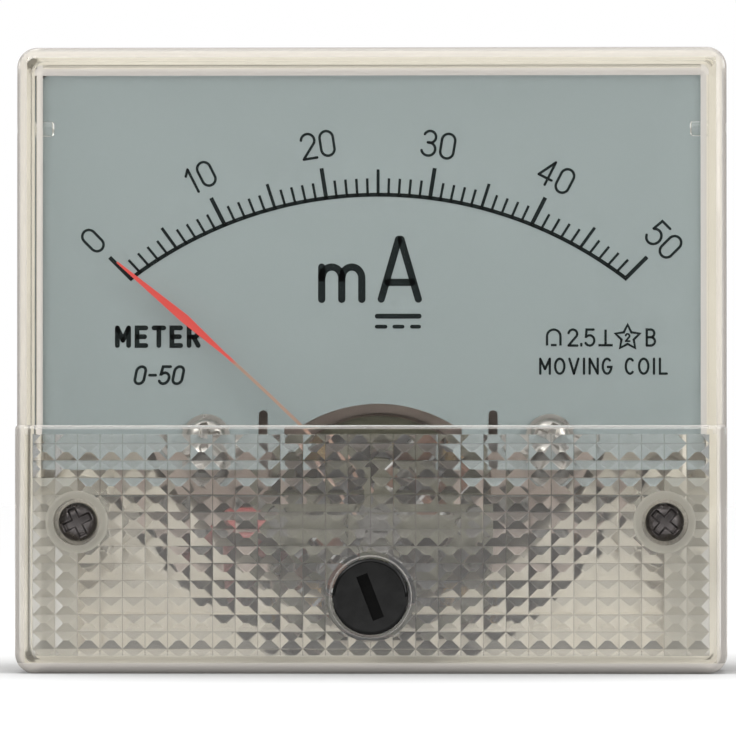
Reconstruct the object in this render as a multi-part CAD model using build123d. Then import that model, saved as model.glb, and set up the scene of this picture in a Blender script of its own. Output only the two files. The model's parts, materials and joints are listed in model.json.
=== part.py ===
"""Moving-coil panel meter: clear moulded cover, beige base with a round barrel, dial, zero adjuster,
core-magnet movement with its pointer, shunt, leads, terminals and mounting studs.

Each piece is modelled with x to the right, y up and z towards the viewer. The barrel's axis is x = 0, y = 0
and the face that bears on the panel is z = 0. At the end the whole meter is stood up, so that the front
looks along -Y and the barrel runs along +Y. Sizes are in millimetres.
"""

import math
import os

from build123d import *

# front and case
FRONT_WIDTH = 64.0
FRONT_HEIGHT = 56.4
FRONT_CORNER = 1.8
FRONT_EDGE = 1.3
AXIS_RISE = 25.7
FLANGE_THICK = 2.5
WINDOW_FACE = 13.5
WINDOW_THICK = 1.5
BAND_FACE = 16.0
BAND_THICK = 1.4
BAND_TOP = 3.4
STEP_WALL = 0.8
STEP_EDGE = 0.35
COVER_WALL = 1.6
COVER_SKIRT = 1.0
RIM_GAP = 0.1
RIM_THICK = 0.7
RIM_FRONT = 7.2
SKIRT_FRONT = 7.6
BARREL_DIA = 50.0
BARREL_DEPTH = 25.0
BARREL_WALL = 2.0
BARREL_FLOOR = 2.5
BARREL_EDGE = 0.8

# pit grid inside the band
PIT_ACROSS = 2.0267
PIT_DOWN = 1.537
PIT_DEPTH = 0.37
PIT_LAND = 0.05
PIT_FIRST_LINE = 5.05

# clear pins inside the cover's side walls
NUB_DROP = 7.3
NUB_R = 0.7
NUB_REACH = 1.7
NUB_LEVEL = 10.6
NUB_EDGE = 0.25

# cover screws, with their pockets and pillars
SCREW_INSET = 5.6
SCREW_DROP = 12.1
SCREW_R = 1.0
SCREW_HEAD_R = 1.75
SCREW_HEAD_TALL = 1.5
SCREW_SEAT = 13.6
SCREW_TIP = 3.4
SCREW_CLEAR = 0.15
POCKET_R = 2.1
BOSS_WALL = 0.5
PILLAR_R = 2.7
PILLAR_FRONT = 9.0
WEB_THICK = 1.2
CROSS_LONG = 1.9
CROSS_WIDE = 0.45
CROSS_DEEP = 0.6
HEAD_DOME = 0.55

# zero adjuster
KNOB_DROP = 18.8
KNOB_HEAD_R = 3.42
KNOB_PROUD = 0.3
KNOB_SEAT = 14.4
KNOB_SEAT_GAP = 0.05
KNOB_SHANK_R = 2.3
KNOB_FIT = 0.08
KNOB_SINK_R = 3.65
KNOB_BOSS_WALL = 0.4
KNOB_BOSS_BACK = 13.0
KNOB_SHANK_BACK = 12.05
KNOB_SLOT_WIDE = 1.05
KNOB_SLOT_LONG = 4.2
KNOB_SLOT_DEEP = 0.9
KNOB_SLOT_TILT = 21.0
KNOB_PIN_R = 0.5
KNOB_PIN_OFFSET = 1.2
KNOB_PIN_BACK = 10.9
RETAINER_R = 3.2
RETAINER_THICK = 0.5
RETAINER_GROOVE = 0.3
RETAINER_FIT = 0.02
RETAINER_MOUTH = 0.6

# pivot, dial and its screws
PIVOT_X = 0.45
PIVOT_DROP = 12.5
DIAL_FACE = 6.5
DIAL_THICK = 0.6
DIAL_GAP = 0.1
DIAL_TOP_GAP = 0.45
DIAL_CORNER = 0.6
DIAL_BOTTOM = 7.4
NOTCH_HALF = 8.05
NOTCH_TOP = 3.35
HUMP_R = 13.0
HUMP_TOP = 1.4
DIAL_SCREW_HALF = 15.6
DIAL_SCREW_DROP = 4.54
DIAL_SCREW_R = 1.0
HOLE_CLEAR = 0.1
DIAL_HEAD_R = 1.8
DIAL_HEAD_TALL = 1.3
DIAL_WASHER_R = 2.2
DIAL_WASHER_THICK = 0.35
DIAL_POST_R = 2.0
DIAL_SLOT_HALF = 10.44
DIAL_SLOT_WIDE = 0.83
DIAL_SLOT_TOP = 2.0
DIAL_SLOT_LONG = 3.7
DIAL_PAD_R = 1.6
DIAL_PAD_IN = 5.0
DIAL_PAD_LOW = 0.4
DIAL_PAD_DOWN = 6.0

# movement
MOVE_MID = -2.8
YOKE_R = 10.2
YOKE_BORE_R = 7.7
YOKE_HALF = 6.0
CORE_R = 5.8
CORE_HALF = 5.4
CORE_EDGE = 0.3
HOLDER_THICK = 0.7
HOLDER_FINGER = 2.2
HOLDER_INNER = 4.2
HOLDER_LIP = 0.2
HOLDER_BITE = 0.4
HOLDER_PAD = 0.5
COIL_INNER_R = 6.3
COIL_OUTER_R = 7.35
COIL_INNER_HALF = 5.9
COIL_OUTER_HALF = 6.8
COIL_WIDTH = 2.6
FORMER_THICK = 0.25
WINDING_ROUND = 0.6
BRACKET_THICK = 2.0
BRACKET_R = 22.3
BRACKET_TOP = 1.0
BRACKET_BOTTOM = 13.2
YOKE_FIT = 0.05
COLLAR_WALL = 1.2
COLLAR_BACK = 2.0
BRACKET_SCREW_DROP = 10.6
BRACKET_SCREW_R = 1.2
BRACKET_HEAD_R = 1.9
BRACKET_HEAD_TALL = 1.4
BRACKET_SCREW_LONG = 9.0
BRACKET_PILLAR_R = 2.6
FRONT_BRIDGE = 10.2
REAR_BRIDGE = -12.4
BRIDGE_THICK = 1.0
BRIDGE_HIGH = 4.0
BRIDGE_HALF = 10.5
BRIDGE_CORNER = 0.8
POST_RADIUS = 8.95
POST_R = 1.0
POST_HOLE_R = 0.5
POST_HOLE_CLEAR = 0.05
BRIDGE_HEAD_R = 0.95
BRIDGE_HEAD_TALL = 0.7
BRIDGE_SCREW_LONG = 2.5

# bearings, staffs and hairsprings
BEARING_R = 1.0
BEARING_FIT = 0.02
BEARING_BACK = 0.3
BEARING_LONG = 2.8
BEARING_SLOT = 0.3
BEARING_SLOT_DEEP = 0.5
CUP_R = 0.28
CUP_DEEP = 0.55
NUT_FLATS = 3.4
NUT_THICK = 0.6
STAFF_R = 0.45
STAFF_FOOT_R = 1.3
STAFF_FOOT = 0.5
STAFF_END = 0.6
TIP_R = 0.2
TIP_LONG = 0.7
SPRING_INNER_R = 0.9
SPRING_PITCH = 0.62
SPRING_TURNS = 4
SPRING_STRIP = 0.1
SPRING_FIT = 0.02
SPRING_WIDE = 0.4
SPRING_SET_BACK = 0.6
LEVER_THICK = 0.4
LEVER_GAP = 0.1
LEVER_HUB_R = 2.0
LEVER_FIT = 0.06
FORK_GAP = 0.12
FORK_WALL = 0.7
FORK_REACH = 1.3
LEVER_TAIL = 5.3
LEVER_BITE = 0.3
TAB_WIDE = 1.0
TAB_THICK = 0.4

# pointer and balance
POINTER_LEVEL = 8.2
POINTER_TIP = (-23.65, 23.94)
POINTER_BOW = (-15.07, 16.68)
POINTER_KNEE = (-5.8, 8.0)
POINTER_TUBE_R = 0.14
BLADE_START_R = 19.8
BLADE_WIDE_R = 25.7
BLADE_ROOT = 0.16
BLADE_WIDE = 0.82
BLADE_TIP = 0.16
BLADE_THICK = 0.14
HUB_R = 1.2
HUB_THICK = 0.9
ARM_R = 0.22
ARM_LONG = 4.7
WEIGHT_R = 0.9
WEIGHT_LONG = 1.3
SIDE_WEIGHT_OUT = 3.2
TAIL_WEIGHT_OUT = 3.3
WEIGHT_FIT = 0.02
ZERO_ANGLE = 45.0

# shunt, leads, terminals and studs
SHUNT_RISE = 12.0
SHUNT_FLANGE_R = 5.0
SHUNT_CORE_R = 2.4
SHUNT_BORE_R = 1.25
SHUNT_LONG = 11.0
SHUNT_FLANGE = 0.8
SHUNT_WIRE_R = 4.4
SHUNT_PEG_R = 1.2
TERMINAL_HALF = 11.0
TERMINAL_R = 2.0
TERMINAL_OUT = 16.0
TERMINAL_HEAD_R = 3.6
TERMINAL_HEAD = 1.5
TERMINAL_PAD_R = 5.2
TERMINAL_PAD = 0.6
TERMINAL_WASHER_R = 4.4
TERMINAL_WASHER = 0.8
TERMINAL_NUT_FLATS = 7.0
TERMINAL_NUT = 3.2
LUG_THICK = 0.6
LUG_R = 4.0
LUG_LONG = 12.0
LUG_TAIL = 3.2
LUG_EYE_R = 0.9
STUD_R = 1.5
STUD_LONG = 14.0
STUD_HEAD_R = 2.6
STUD_HEAD = 1.2
STUD_COVERED = 1.0
STUD_SHANK_R = 1.9
STUD_SHOULDER = 0.25
STUD_SINK_R = 2.9
STUD_SINK = 0.5
LEAD_R = 0.55
LEAD_LIFT = 0.2
LEAD_IN = 1.2
LEAD_SHARE = 0.4
THREAD_EDGE = 0.25

# places that follow from the sizes above
FRONT_MID = FRONT_HEIGHT / 2 - AXIS_RISE
FRONT_TOP = FRONT_HEIGHT - AXIS_RISE
STEP_Y = -BAND_TOP
SCREW_ACROSS = FRONT_WIDTH / 2 - SCREW_INSET
PIVOT_Y = -PIVOT_DROP
KNOB_Y = -KNOB_DROP
SCREW_Y = -SCREW_DROP
DIAL_SCREW_Y = -DIAL_SCREW_DROP
DIAL_BACK = DIAL_FACE - DIAL_THICK
BORE_R = BARREL_DIA / 2 - BARREL_WALL
FLOOR = BARREL_FLOOR - BARREL_DEPTH
COIL_FRONT = MOVE_MID + COIL_OUTER_HALF
COIL_BACK = MOVE_MID - COIL_OUTER_HALF
YOKE_FRONT = MOVE_MID + YOKE_HALF
YOKE_BACK = MOVE_MID - YOKE_HALF
BRIDGE_FACE = FRONT_BRIDGE + BRIDGE_THICK
FORK_LINE = math.degrees(math.atan2(PIVOT_X, PIVOT_Y - KNOB_Y))
PIVOT_TO_KNOB = math.hypot(PIVOT_X, PIVOT_Y - KNOB_Y)
PIVOT = Pos(PIVOT_X, PIVOT_Y, 0)
BOTH_SIDES = (-1, 1)


def disc(radius, low, high, x=0.0, y=0.0):
    """Round bar from one level to another."""
    return Pos(x, y, low) * extrude(Circle(radius), high - low)


def tube(outer, inner, low, high, x=0.0, y=0.0):
    """Ring or tube from one level to another."""
    return Pos(x, y, low) * extrude(Circle(outer) - Circle(inner), high - low)


def block(x_low, x_high, y_low, y_high, low, high):
    """Plain rectangular block between two corners."""
    size = (x_high - x_low, y_high - y_low, high - low)
    middle = Pos((x_low + x_high) / 2, (y_low + y_high) / 2, (low + high) / 2)
    return middle * Box(*size)


def front_slab(inset, low, high, corner):
    """The front's outline, drawn in by an inset, between two levels."""
    outline = RectangleRounded(FRONT_WIDTH - 2 * inset, FRONT_HEIGHT - 2 * inset, corner)
    return Pos(0, FRONT_MID, low) * extrude(outline, high - low)


def rounded_front(part, radius):
    """Round the edges of a part's foremost face."""
    return fillet(part.faces().sort_by(Axis.Z)[-1].edges(), radius)


def hexagon(flats, radius, low, high, x=0.0, y=0.0):
    """Nut with a plain bore, its corners eased on both faces."""
    body = extrude(RegularPolygon(flats / 2, 6, major_radius=False), high - low)
    return Pos(x, y, low) * (body - extrude(Circle(radius), high - low))


def pit(x_low, y_high, y_low, floor):
    """Hip-roofed pit with four equal slopes, pressed into the face at the floor's level."""
    across = PIT_ACROSS - PIT_LAND
    down = PIT_DOWN - PIT_LAND
    slope = down / 2
    x_a = x_low + PIT_LAND / 2
    y_a = y_low + PIT_LAND / 2
    corners = [
        (x_a, y_a, floor),
        (x_a + across, y_a, floor),
        (x_a + across, y_a + down, floor),
        (x_a, y_a + down, floor),
        (x_a + slope, y_a + slope, floor + PIT_DEPTH),
        (x_a + across - slope, y_a + slope, floor + PIT_DEPTH),
    ]
    sides = [(3, 2, 1, 0), (0, 1, 5, 4), (1, 2, 5), (2, 3, 4, 5), (3, 0, 4)]
    faces = [Face(Wire.make_polygon([corners[i] for i in side], close=True)) for side in sides]
    return Solid(Shell(faces))


def pit_grid(floor):
    """All pits of the band's inner face, apart from those that the bosses would fill."""
    x_start = COVER_WALL - FRONT_WIDTH / 2
    columns = round(-2 * x_start / PIT_ACROSS)
    top = STEP_Y - STEP_WALL
    bottom = COVER_WALL - AXIS_RISE
    field = block(x_start, -x_start, bottom + PIT_LAND, top - PIT_LAND, floor - 1, floor + 1)
    screw_boss_r = POCKET_R + BOSS_WALL
    knob_boss_r = KNOB_SINK_R + KNOB_BOSS_WALL
    pits = []
    first_line = -PIT_FIRST_LINE
    first_row = math.floor((first_line - top) / PIT_DOWN)
    last_row = math.ceil((first_line - bottom) / PIT_DOWN)
    for row in range(first_row, last_row):
        y_high = first_line - row * PIT_DOWN
        y_low = y_high - PIT_DOWN
        for column in range(columns):
            x_low = x_start + column * PIT_ACROSS
            x_mid = x_low + PIT_ACROSS / 2
            y_mid = (y_low + y_high) / 2
            half_cell = math.hypot(PIT_ACROSS, PIT_DOWN) / 2
            in_screw_boss = math.hypot(abs(x_mid) - SCREW_ACROSS, y_mid - SCREW_Y) < screw_boss_r - half_cell
            in_knob_boss = math.hypot(x_mid, y_mid - KNOB_Y) < knob_boss_r - half_cell
            if in_screw_boss or in_knob_boss:
                continue
            cell = pit(x_low, y_high, y_low, floor)
            if y_high > top or y_low < bottom:
                cell = (cell & field).solid()
            pits.append(cell)
    return pits


def make_front_cover():
    """Clear cover: window, proud band with its pit grid, skirt, bosses for the screws and the knob."""
    window = rounded_front(front_slab(0, FLANGE_THICK, WINDOW_FACE, FRONT_CORNER), FRONT_EDGE)
    band = rounded_front(front_slab(0, FLANGE_THICK, BAND_FACE, FRONT_CORNER), FRONT_EDGE)
    half = FRONT_WIDTH / 2
    foot = -AXIS_RISE
    band = band & block(-half, half, foot, STEP_Y, FLANGE_THICK, BAND_FACE)
    step_edge = band.faces().sort_by(Axis.Z)[-1].edges().sort_by(Axis.Y)[-1]
    band = fillet(step_edge, STEP_EDGE)
    cover = window + band
    window_back = WINDOW_FACE - WINDOW_THICK
    band_back = BAND_FACE - BAND_THICK
    inner_corner = FRONT_CORNER / 3
    cover -= front_slab(COVER_WALL, FLANGE_THICK, window_back, inner_corner)
    x_in = half - COVER_WALL
    cover -= block(-x_in, x_in, foot + COVER_WALL, STEP_Y - STEP_WALL, window_back - 1, band_back)
    cover -= front_slab(COVER_SKIRT, FLANGE_THICK, SKIRT_FRONT, FRONT_CORNER - COVER_SKIRT / 2)
    cover = cover.cut(*pit_grid(band_back))
    boss_top = band_back + PIT_DEPTH
    cover += disc(KNOB_SINK_R + KNOB_BOSS_WALL, KNOB_BOSS_BACK, boss_top, 0, KNOB_Y)
    for side in BOTH_SIDES:
        x = side * SCREW_ACROSS
        cover += disc(POCKET_R + BOSS_WALL, PILLAR_FRONT, boss_top, x, SCREW_Y)
        cover -= disc(POCKET_R, SCREW_SEAT, BAND_FACE, x, SCREW_Y)
        cover -= disc(SCREW_R + SCREW_CLEAR, PILLAR_FRONT, BAND_FACE, x, SCREW_Y)
        nub = disc(NUB_R, 0, NUB_REACH + COVER_WALL / 2)
        nub = fillet(nub.faces().sort_by(Axis.Z)[-1].edges(), NUB_EDGE)
        root = Pos(side * (x_in + COVER_WALL / 2), FRONT_TOP - NUB_DROP, NUB_LEVEL)
        cover += root * Rot(0, -side * 90, 0) * nub
    cover -= disc(KNOB_SINK_R, KNOB_SEAT, BAND_FACE, 0, KNOB_Y)
    cover -= disc(KNOB_SHANK_R + KNOB_FIT, KNOB_BOSS_BACK, BAND_FACE, 0, KNOB_Y)
    return cover


def make_rear_housing():
    """Beige base: flange, rim round the dial, barrel with its floor, pillars, pads and stud seats."""
    flange = front_slab(0, 0, FLANGE_THICK, FRONT_CORNER)
    rim_out = COVER_SKIRT + RIM_GAP
    rim = front_slab(rim_out, FLANGE_THICK, RIM_FRONT, FRONT_CORNER - rim_out / 2)
    rim -= front_slab(rim_out + RIM_THICK, FLANGE_THICK, RIM_FRONT, FRONT_CORNER / 3)
    barrel = disc(BARREL_DIA / 2, -BARREL_DEPTH, 0)
    barrel = chamfer(barrel.faces().sort_by(Axis.Z)[0].edges(), BARREL_EDGE)
    base = flange + rim + barrel - disc(BORE_R, FLOOR, FLANGE_THICK)
    for side in BOTH_SIDES:
        x = side * SCREW_ACROSS
        wall = side * (FRONT_WIDTH / 2 - rim_out - RIM_THICK / 2)
        base += disc(PILLAR_R, FLANGE_THICK, PILLAR_FRONT, x, SCREW_Y)
        web = sorted((x, wall))
        half_web = WEB_THICK / 2
        base += block(*web, SCREW_Y - half_web, SCREW_Y + half_web, FLANGE_THICK, RIM_FRONT)
        base -= disc(SCREW_R, SCREW_TIP, PILLAR_FRONT, x, SCREW_Y)
        base -= disc(STUD_SINK_R, 0, STUD_SINK, x, SCREW_Y)
        base -= mounting_stud(side)
        base += terminal_pad(side)
        base -= disc(TERMINAL_R, -BARREL_DEPTH - TERMINAL_PAD, FLOOR, side * TERMINAL_HALF, 0)
        base += bracket_pillar(side)
        for y in (-DIAL_PAD_LOW, FRONT_TOP - DIAL_PAD_DOWN):
            pad_x = side * (FRONT_WIDTH / 2 - DIAL_PAD_IN)
            base += disc(DIAL_PAD_R, FLANGE_THICK, DIAL_BACK, pad_x, y)
    return base + disc(SHUNT_PEG_R, FLOOR, FLOOR + SHUNT_LONG, 0, SHUNT_RISE)


def terminal_pad(side):
    """Raised round seat for a terminal on the barrel's back."""
    low = -BARREL_DEPTH - TERMINAL_PAD
    return disc(TERMINAL_PAD_R, low, -BARREL_DEPTH, side * TERMINAL_HALF, 0)


def bracket_pillar(side):
    """Pillar from the barrel's floor to the movement bracket, with the hole for its screw."""
    x = PIVOT_X + side * DIAL_SCREW_HALF
    y = -BRACKET_SCREW_DROP
    pillar = disc(BRACKET_PILLAR_R, FLOOR, 0, x, y)
    return pillar - disc(BRACKET_SCREW_R, BRACKET_THICK - BRACKET_SCREW_LONG, 0, x, y)


def cross_head(radius, tall):
    """Domed screw head with a cross recess, standing on level zero."""
    head = extrude(Circle(radius), tall)
    head = fillet(head.faces().sort_by(Axis.Z)[-1].edges(), tall * HEAD_DOME)
    for turn in (0, 90):
        arm = Pos(0, 0, tall - CROSS_DEEP / 2) * Box(CROSS_LONG, CROSS_WIDE, CROSS_DEEP)
        head -= Rot(0, 0, turn) * arm
    return head


def make_cover_screws():
    """Two self-tapping screws from the front through the cover into the base's pillars."""
    screws = []
    for side, turn in zip(BOTH_SIDES, (25, 50)):
        x = side * SCREW_ACROSS
        head = Pos(x, SCREW_Y, SCREW_SEAT) * Rot(0, 0, turn) * cross_head(SCREW_HEAD_R, SCREW_HEAD_TALL)
        screws.append(head + disc(SCREW_R, SCREW_TIP, SCREW_SEAT, x, SCREW_Y))
    return screws


def mounting_stud(side):
    """Stud that points back out of the flange, in line with a cover screw.

    Its head and thick shank are moulded in, and the shank ends in a shallow sink, so the flange seats flat.
    """
    x = side * SCREW_ACROSS
    shoulder = STUD_SINK - STUD_SHOULDER
    head = disc(STUD_HEAD_R, STUD_COVERED, STUD_COVERED + STUD_HEAD, x, SCREW_Y)
    head += disc(STUD_SHANK_R, shoulder, STUD_COVERED, x, SCREW_Y)
    shank = disc(STUD_R, -STUD_LONG, shoulder, x, SCREW_Y)
    return head + chamfer(shank.faces().sort_by(Axis.Z)[0].edges(), STUD_R * THREAD_EDGE)


def make_zero_adjuster():
    """Slotted knob with its shank, groove and eccentric pin. At rest the pin points at the pivot."""
    seat = KNOB_SEAT + KNOB_SEAT_GAP
    top = BAND_FACE + KNOB_PROUD
    head = disc(KNOB_HEAD_R, seat, top)
    head = fillet(head.faces().sort_by(Axis.Z)[-1].edges(), KNOB_PROUD)
    slot = Pos(0, 0, top - KNOB_SLOT_DEEP / 2) * Box(KNOB_SLOT_WIDE, KNOB_SLOT_LONG, KNOB_SLOT_DEEP)
    head -= Rot(0, 0, KNOB_SLOT_TILT) * slot
    shank = disc(KNOB_SHANK_R, KNOB_SHANK_BACK, seat)
    low, high = retainer_levels()
    shank -= tube(KNOB_SHANK_R + 1, KNOB_SHANK_R - RETAINER_GROOVE, low, high)
    pin = disc(KNOB_PIN_R, KNOB_PIN_BACK, KNOB_SHANK_BACK, 0, KNOB_PIN_OFFSET)
    return Pos(0, KNOB_Y, 0) * (head + shank + Rot(0, 0, -FORK_LINE) * pin)


def retainer_levels():
    """Levels of the retaining ring, close behind the cover's boss."""
    high = KNOB_BOSS_BACK - KNOB_SEAT_GAP
    return high - RETAINER_THICK, high


def make_adjuster_retainer():
    """Open spring ring in the groove of the knob's shank."""
    low, high = retainer_levels()
    ring = tube(RETAINER_R, KNOB_SHANK_R - RETAINER_GROOVE + RETAINER_FIT, low, high)
    mouth = block(-RETAINER_MOUTH, RETAINER_MOUTH, -RETAINER_R - 1, 0, low, high)
    return Pos(0, KNOB_Y, 0) * (ring - mouth)


def dial_outline():
    """Dial blank with its bottom notch, hump over the movement, screw holes and two slots."""
    inset = COVER_SKIRT + RIM_GAP + RIM_THICK + DIAL_GAP
    half = FRONT_WIDTH / 2 - inset
    top = FRONT_TOP - inset + DIAL_GAP - DIAL_TOP_GAP
    bottom = -DIAL_BOTTOM
    notch_top = -NOTCH_TOP
    blank = Pos(0, (top + bottom) / 2) * RectangleRounded(2 * half, top - bottom, DIAL_CORNER)
    notch = Pos(0, (notch_top + bottom) / 2) * Rectangle(2 * NOTCH_HALF, notch_top - bottom)
    hump = Pos(PIVOT_X, -HUMP_TOP - HUMP_R) * Circle(HUMP_R)
    above = Pos(0, notch_top + HUMP_R) * Rectangle(2 * HUMP_R, 2 * HUMP_R)
    outline = blank - notch - (hump & above)
    slot_y = -DIAL_SLOT_TOP - DIAL_SLOT_LONG / 2
    for side in BOTH_SIDES:
        hole = Pos(PIVOT_X + side * DIAL_SCREW_HALF, DIAL_SCREW_Y) * Circle(DIAL_SCREW_R + HOLE_CLEAR)
        slot = Rot(0, 0, 90) * SlotOverall(DIAL_SLOT_LONG, DIAL_SLOT_WIDE)
        outline = outline - hole - Pos(PIVOT_X + side * DIAL_SLOT_HALF, slot_y) * slot
    return outline


def make_dial_plate():
    """Printed sheet-metal dial inside the rim, on the pads and on the bracket's posts."""
    return Pos(0, 0, DIAL_BACK) * extrude(dial_outline(), DIAL_THICK)


def dial_screw_places():
    """Centres of the two dial screws."""
    return [(PIVOT_X + side * DIAL_SCREW_HALF, DIAL_SCREW_Y) for side in BOTH_SIDES]


def make_dial_screws():
    """Two domed cross-head screws through the dial into the bracket's posts."""
    screws = []
    for x, y in dial_screw_places():
        seat = DIAL_FACE + DIAL_WASHER_THICK
        head = Pos(x, y, seat) * cross_head(DIAL_HEAD_R, DIAL_HEAD_TALL)
        screws.append(head + disc(DIAL_SCREW_R, BRACKET_THICK, seat, x, y))
    return screws


def make_dial_washers():
    """Flat washers under the dial screws."""
    seat = DIAL_FACE + DIAL_WASHER_THICK
    bore = DIAL_SCREW_R + HOLE_CLEAR
    return [tube(DIAL_WASHER_R, bore, DIAL_FACE, seat, x, y) for x, y in dial_screw_places()]


def make_movement_bracket():
    """Cast bracket across the barrel: it holds the yoke and carries the dial on two posts."""
    plate = disc(BRACKET_R, 0, BRACKET_THICK)
    plate &= block(-BRACKET_R, BRACKET_R, -BRACKET_BOTTOM, BRACKET_TOP, 0, BRACKET_THICK)
    collar = disc(YOKE_R + COLLAR_WALL, -COLLAR_BACK, BRACKET_THICK, PIVOT_X, PIVOT_Y)
    collar &= block(-BRACKET_R, BRACKET_R, -BRACKET_BOTTOM, BRACKET_TOP, -COLLAR_BACK, BRACKET_THICK)
    plate += collar
    plate -= disc(YOKE_R + YOKE_FIT, -COLLAR_BACK, BRACKET_THICK, PIVOT_X, PIVOT_Y)
    for x, y in dial_screw_places():
        plate += tube(DIAL_POST_R, DIAL_SCREW_R, BRACKET_THICK, DIAL_BACK, x, y)
        plate -= disc(BRACKET_SCREW_R + HOLE_CLEAR, 0, BRACKET_THICK, x, -BRACKET_SCREW_DROP)
    return plate


def make_bracket_screws():
    """Two screws that hold the bracket down on its pillars."""
    screws = []
    for x, _ in dial_screw_places():
        y = -BRACKET_SCREW_DROP
        low = BRACKET_THICK - BRACKET_SCREW_LONG
        head = Pos(x, y, BRACKET_THICK) * cross_head(BRACKET_HEAD_R, BRACKET_HEAD_TALL)
        screws.append(head + disc(BRACKET_SCREW_R, low, BRACKET_THICK, x, y))
    return screws


def make_yoke_ring():
    """Soft-iron return ring round the coil."""
    return PIVOT * tube(YOKE_R, YOKE_BORE_R, YOKE_BACK, YOKE_FRONT)


def make_core_magnet():
    """Round core magnet inside the coil, its ends eased."""
    core = disc(CORE_R, MOVE_MID - CORE_HALF, MOVE_MID + CORE_HALF)
    return PIVOT * chamfer(core.edges().filter_by(GeomType.CIRCLE), CORE_EDGE)


def make_core_holder(front):
    """Ring on the yoke's end with two fingers that hold the core, clear of the coil's sweep."""
    facing = 1 if front else -1
    inner = MOVE_MID + facing * CORE_HALF
    seat = MOVE_MID + facing * YOKE_HALF
    outer = seat + facing * HOLDER_THICK
    low, high = sorted((seat, outer))
    holder = tube(YOKE_R - HOLDER_LIP, YOKE_BORE_R + HOLDER_LIP, low, high)
    pad_low, pad_high = sorted((inner, outer))
    for side in BOTH_SIDES:
        reach = sorted((side * HOLDER_INNER, side * (YOKE_BORE_R + HOLDER_LIP + HOLDER_BITE)))
        foot = sorted((side * HOLDER_INNER, side * (CORE_R - HOLDER_PAD)))
        half = HOLDER_FINGER / 2
        holder += block(-half, half, *reach, low, high)
        holder += block(-half, half, *foot, pad_low, pad_high)
    return PIVOT * holder


def make_posts(front):
    """Two distance posts between a core holder and a bridge."""
    if front:
        low, high = YOKE_FRONT + HOLDER_THICK, FRONT_BRIDGE
    else:
        low, high = REAR_BRIDGE, YOKE_BACK - HOLDER_THICK
    places = [PIVOT_X + side * POST_RADIUS for side in BOTH_SIDES]
    return [tube(POST_R, POST_HOLE_R, low, high, x, PIVOT_Y) for x in places]


def make_bridge(low):
    """Brass strip across the coil with the bearing screw's boss and two screw holes."""
    strip = extrude(RectangleRounded(2 * BRIDGE_HALF, BRIDGE_HIGH, BRIDGE_CORNER), BRIDGE_THICK)
    strip -= extrude(Circle(BEARING_R + BEARING_FIT), BRIDGE_THICK)
    for side in BOTH_SIDES:
        strip -= Pos(side * POST_RADIUS, 0) * extrude(Circle(POST_HOLE_R + POST_HOLE_CLEAR), BRIDGE_THICK)
    return Pos(PIVOT_X, PIVOT_Y, low) * strip


def make_bridge_screws():
    """Four small screws, two in each bridge."""
    screws = []
    for side in BOTH_SIDES:
        x = PIVOT_X + side * POST_RADIUS
        for face, facing in ((BRIDGE_FACE, 1), (REAR_BRIDGE - BRIDGE_THICK, -1)):
            head = sorted((face, face + facing * BRIDGE_HEAD_TALL))
            shank = sorted((face, face - facing * BRIDGE_SCREW_LONG))
            body = disc(BRIDGE_HEAD_R, *head, x, PIVOT_Y)
            screws.append(body + disc(POST_HOLE_R, *shank, x, PIVOT_Y))
    return screws


def outward(front):
    """Bridge's inner face and the way that points out of the coil, for the front or rear bearing."""
    return (FRONT_BRIDGE, 1) if front else (REAR_BRIDGE, -1)


def make_bearing_screw(front):
    """Threaded bearing with a cup for the staff's tip and a slot in its outer end."""
    face, facing = outward(front)
    inner = face - facing * BEARING_BACK
    outer = inner + facing * BEARING_LONG
    screw = disc(BEARING_R, *sorted((inner, outer)))
    screw -= disc(CUP_R, *sorted((inner, inner + facing * CUP_DEEP)))
    low, high = sorted((outer, outer - facing * BEARING_SLOT_DEEP))
    screw -= block(-BEARING_R, BEARING_R, -BEARING_SLOT / 2, BEARING_SLOT / 2, low, high)
    return PIVOT * screw


def make_bearing_nuts():
    """Lock nuts on the bearing screws, outside the zero lever and the rear spring tab."""
    nuts = []
    for front in (True, False):
        face, facing = outward(front)
        seat = face + facing * (BRIDGE_THICK + 2 * LEVER_GAP + LEVER_THICK)
        nut = hexagon(NUT_FLATS, BEARING_R, *sorted((seat, seat + facing * NUT_THICK)))
        nuts.append(PIVOT * nut)
    return nuts


def make_staff(front):
    """Half staff: foot on the coil, collar for the hairspring and the polished tip."""
    face, facing = outward(front)
    start = COIL_FRONT if front else COIL_BACK
    end = face - facing * STAFF_END
    staff = disc(STAFF_FOOT_R, *sorted((start, start + facing * STAFF_FOOT)))
    staff += disc(STAFF_R, *sorted((start, end)))
    staff += disc(TIP_R, *sorted((end, end + facing * TIP_LONG)))
    staff += disc(SPRING_INNER_R - SPRING_FIT, *spring_levels(front))
    return PIVOT * staff


def spring_levels(front):
    """Levels of a hairspring, just inside its bridge."""
    face, facing = outward(front)
    near = face - facing * SPRING_SET_BACK
    return sorted((near, near - facing * SPRING_WIDE))


def make_hairspring(front):
    """Flat spiral of half circles. Each is a quarter pitch wider, so a full turn moves out by a pitch."""
    low, high = spring_levels(front)
    half_strip = SPRING_STRIP / 2
    grow = SPRING_PITCH / 4
    half_rings = []
    for half_turn in range(2 * SPRING_TURNS):
        side = 1 if half_turn % 2 == 0 else -1
        radius = SPRING_INNER_R + half_strip + half_turn * grow
        reach = 2 * radius
        ring = Circle(radius + half_strip) - Circle(radius - half_strip)
        ring &= Pos(side * reach / 2, 0) * Rectangle(reach, 2 * reach)
        centre = 0 if side > 0 else grow
        half_rings.append(Pos(0, centre) * extrude(ring, high - low))
    return Pos(PIVOT_X, PIVOT_Y, low) * half_rings[0].fuse(*half_rings[1:])


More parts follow.
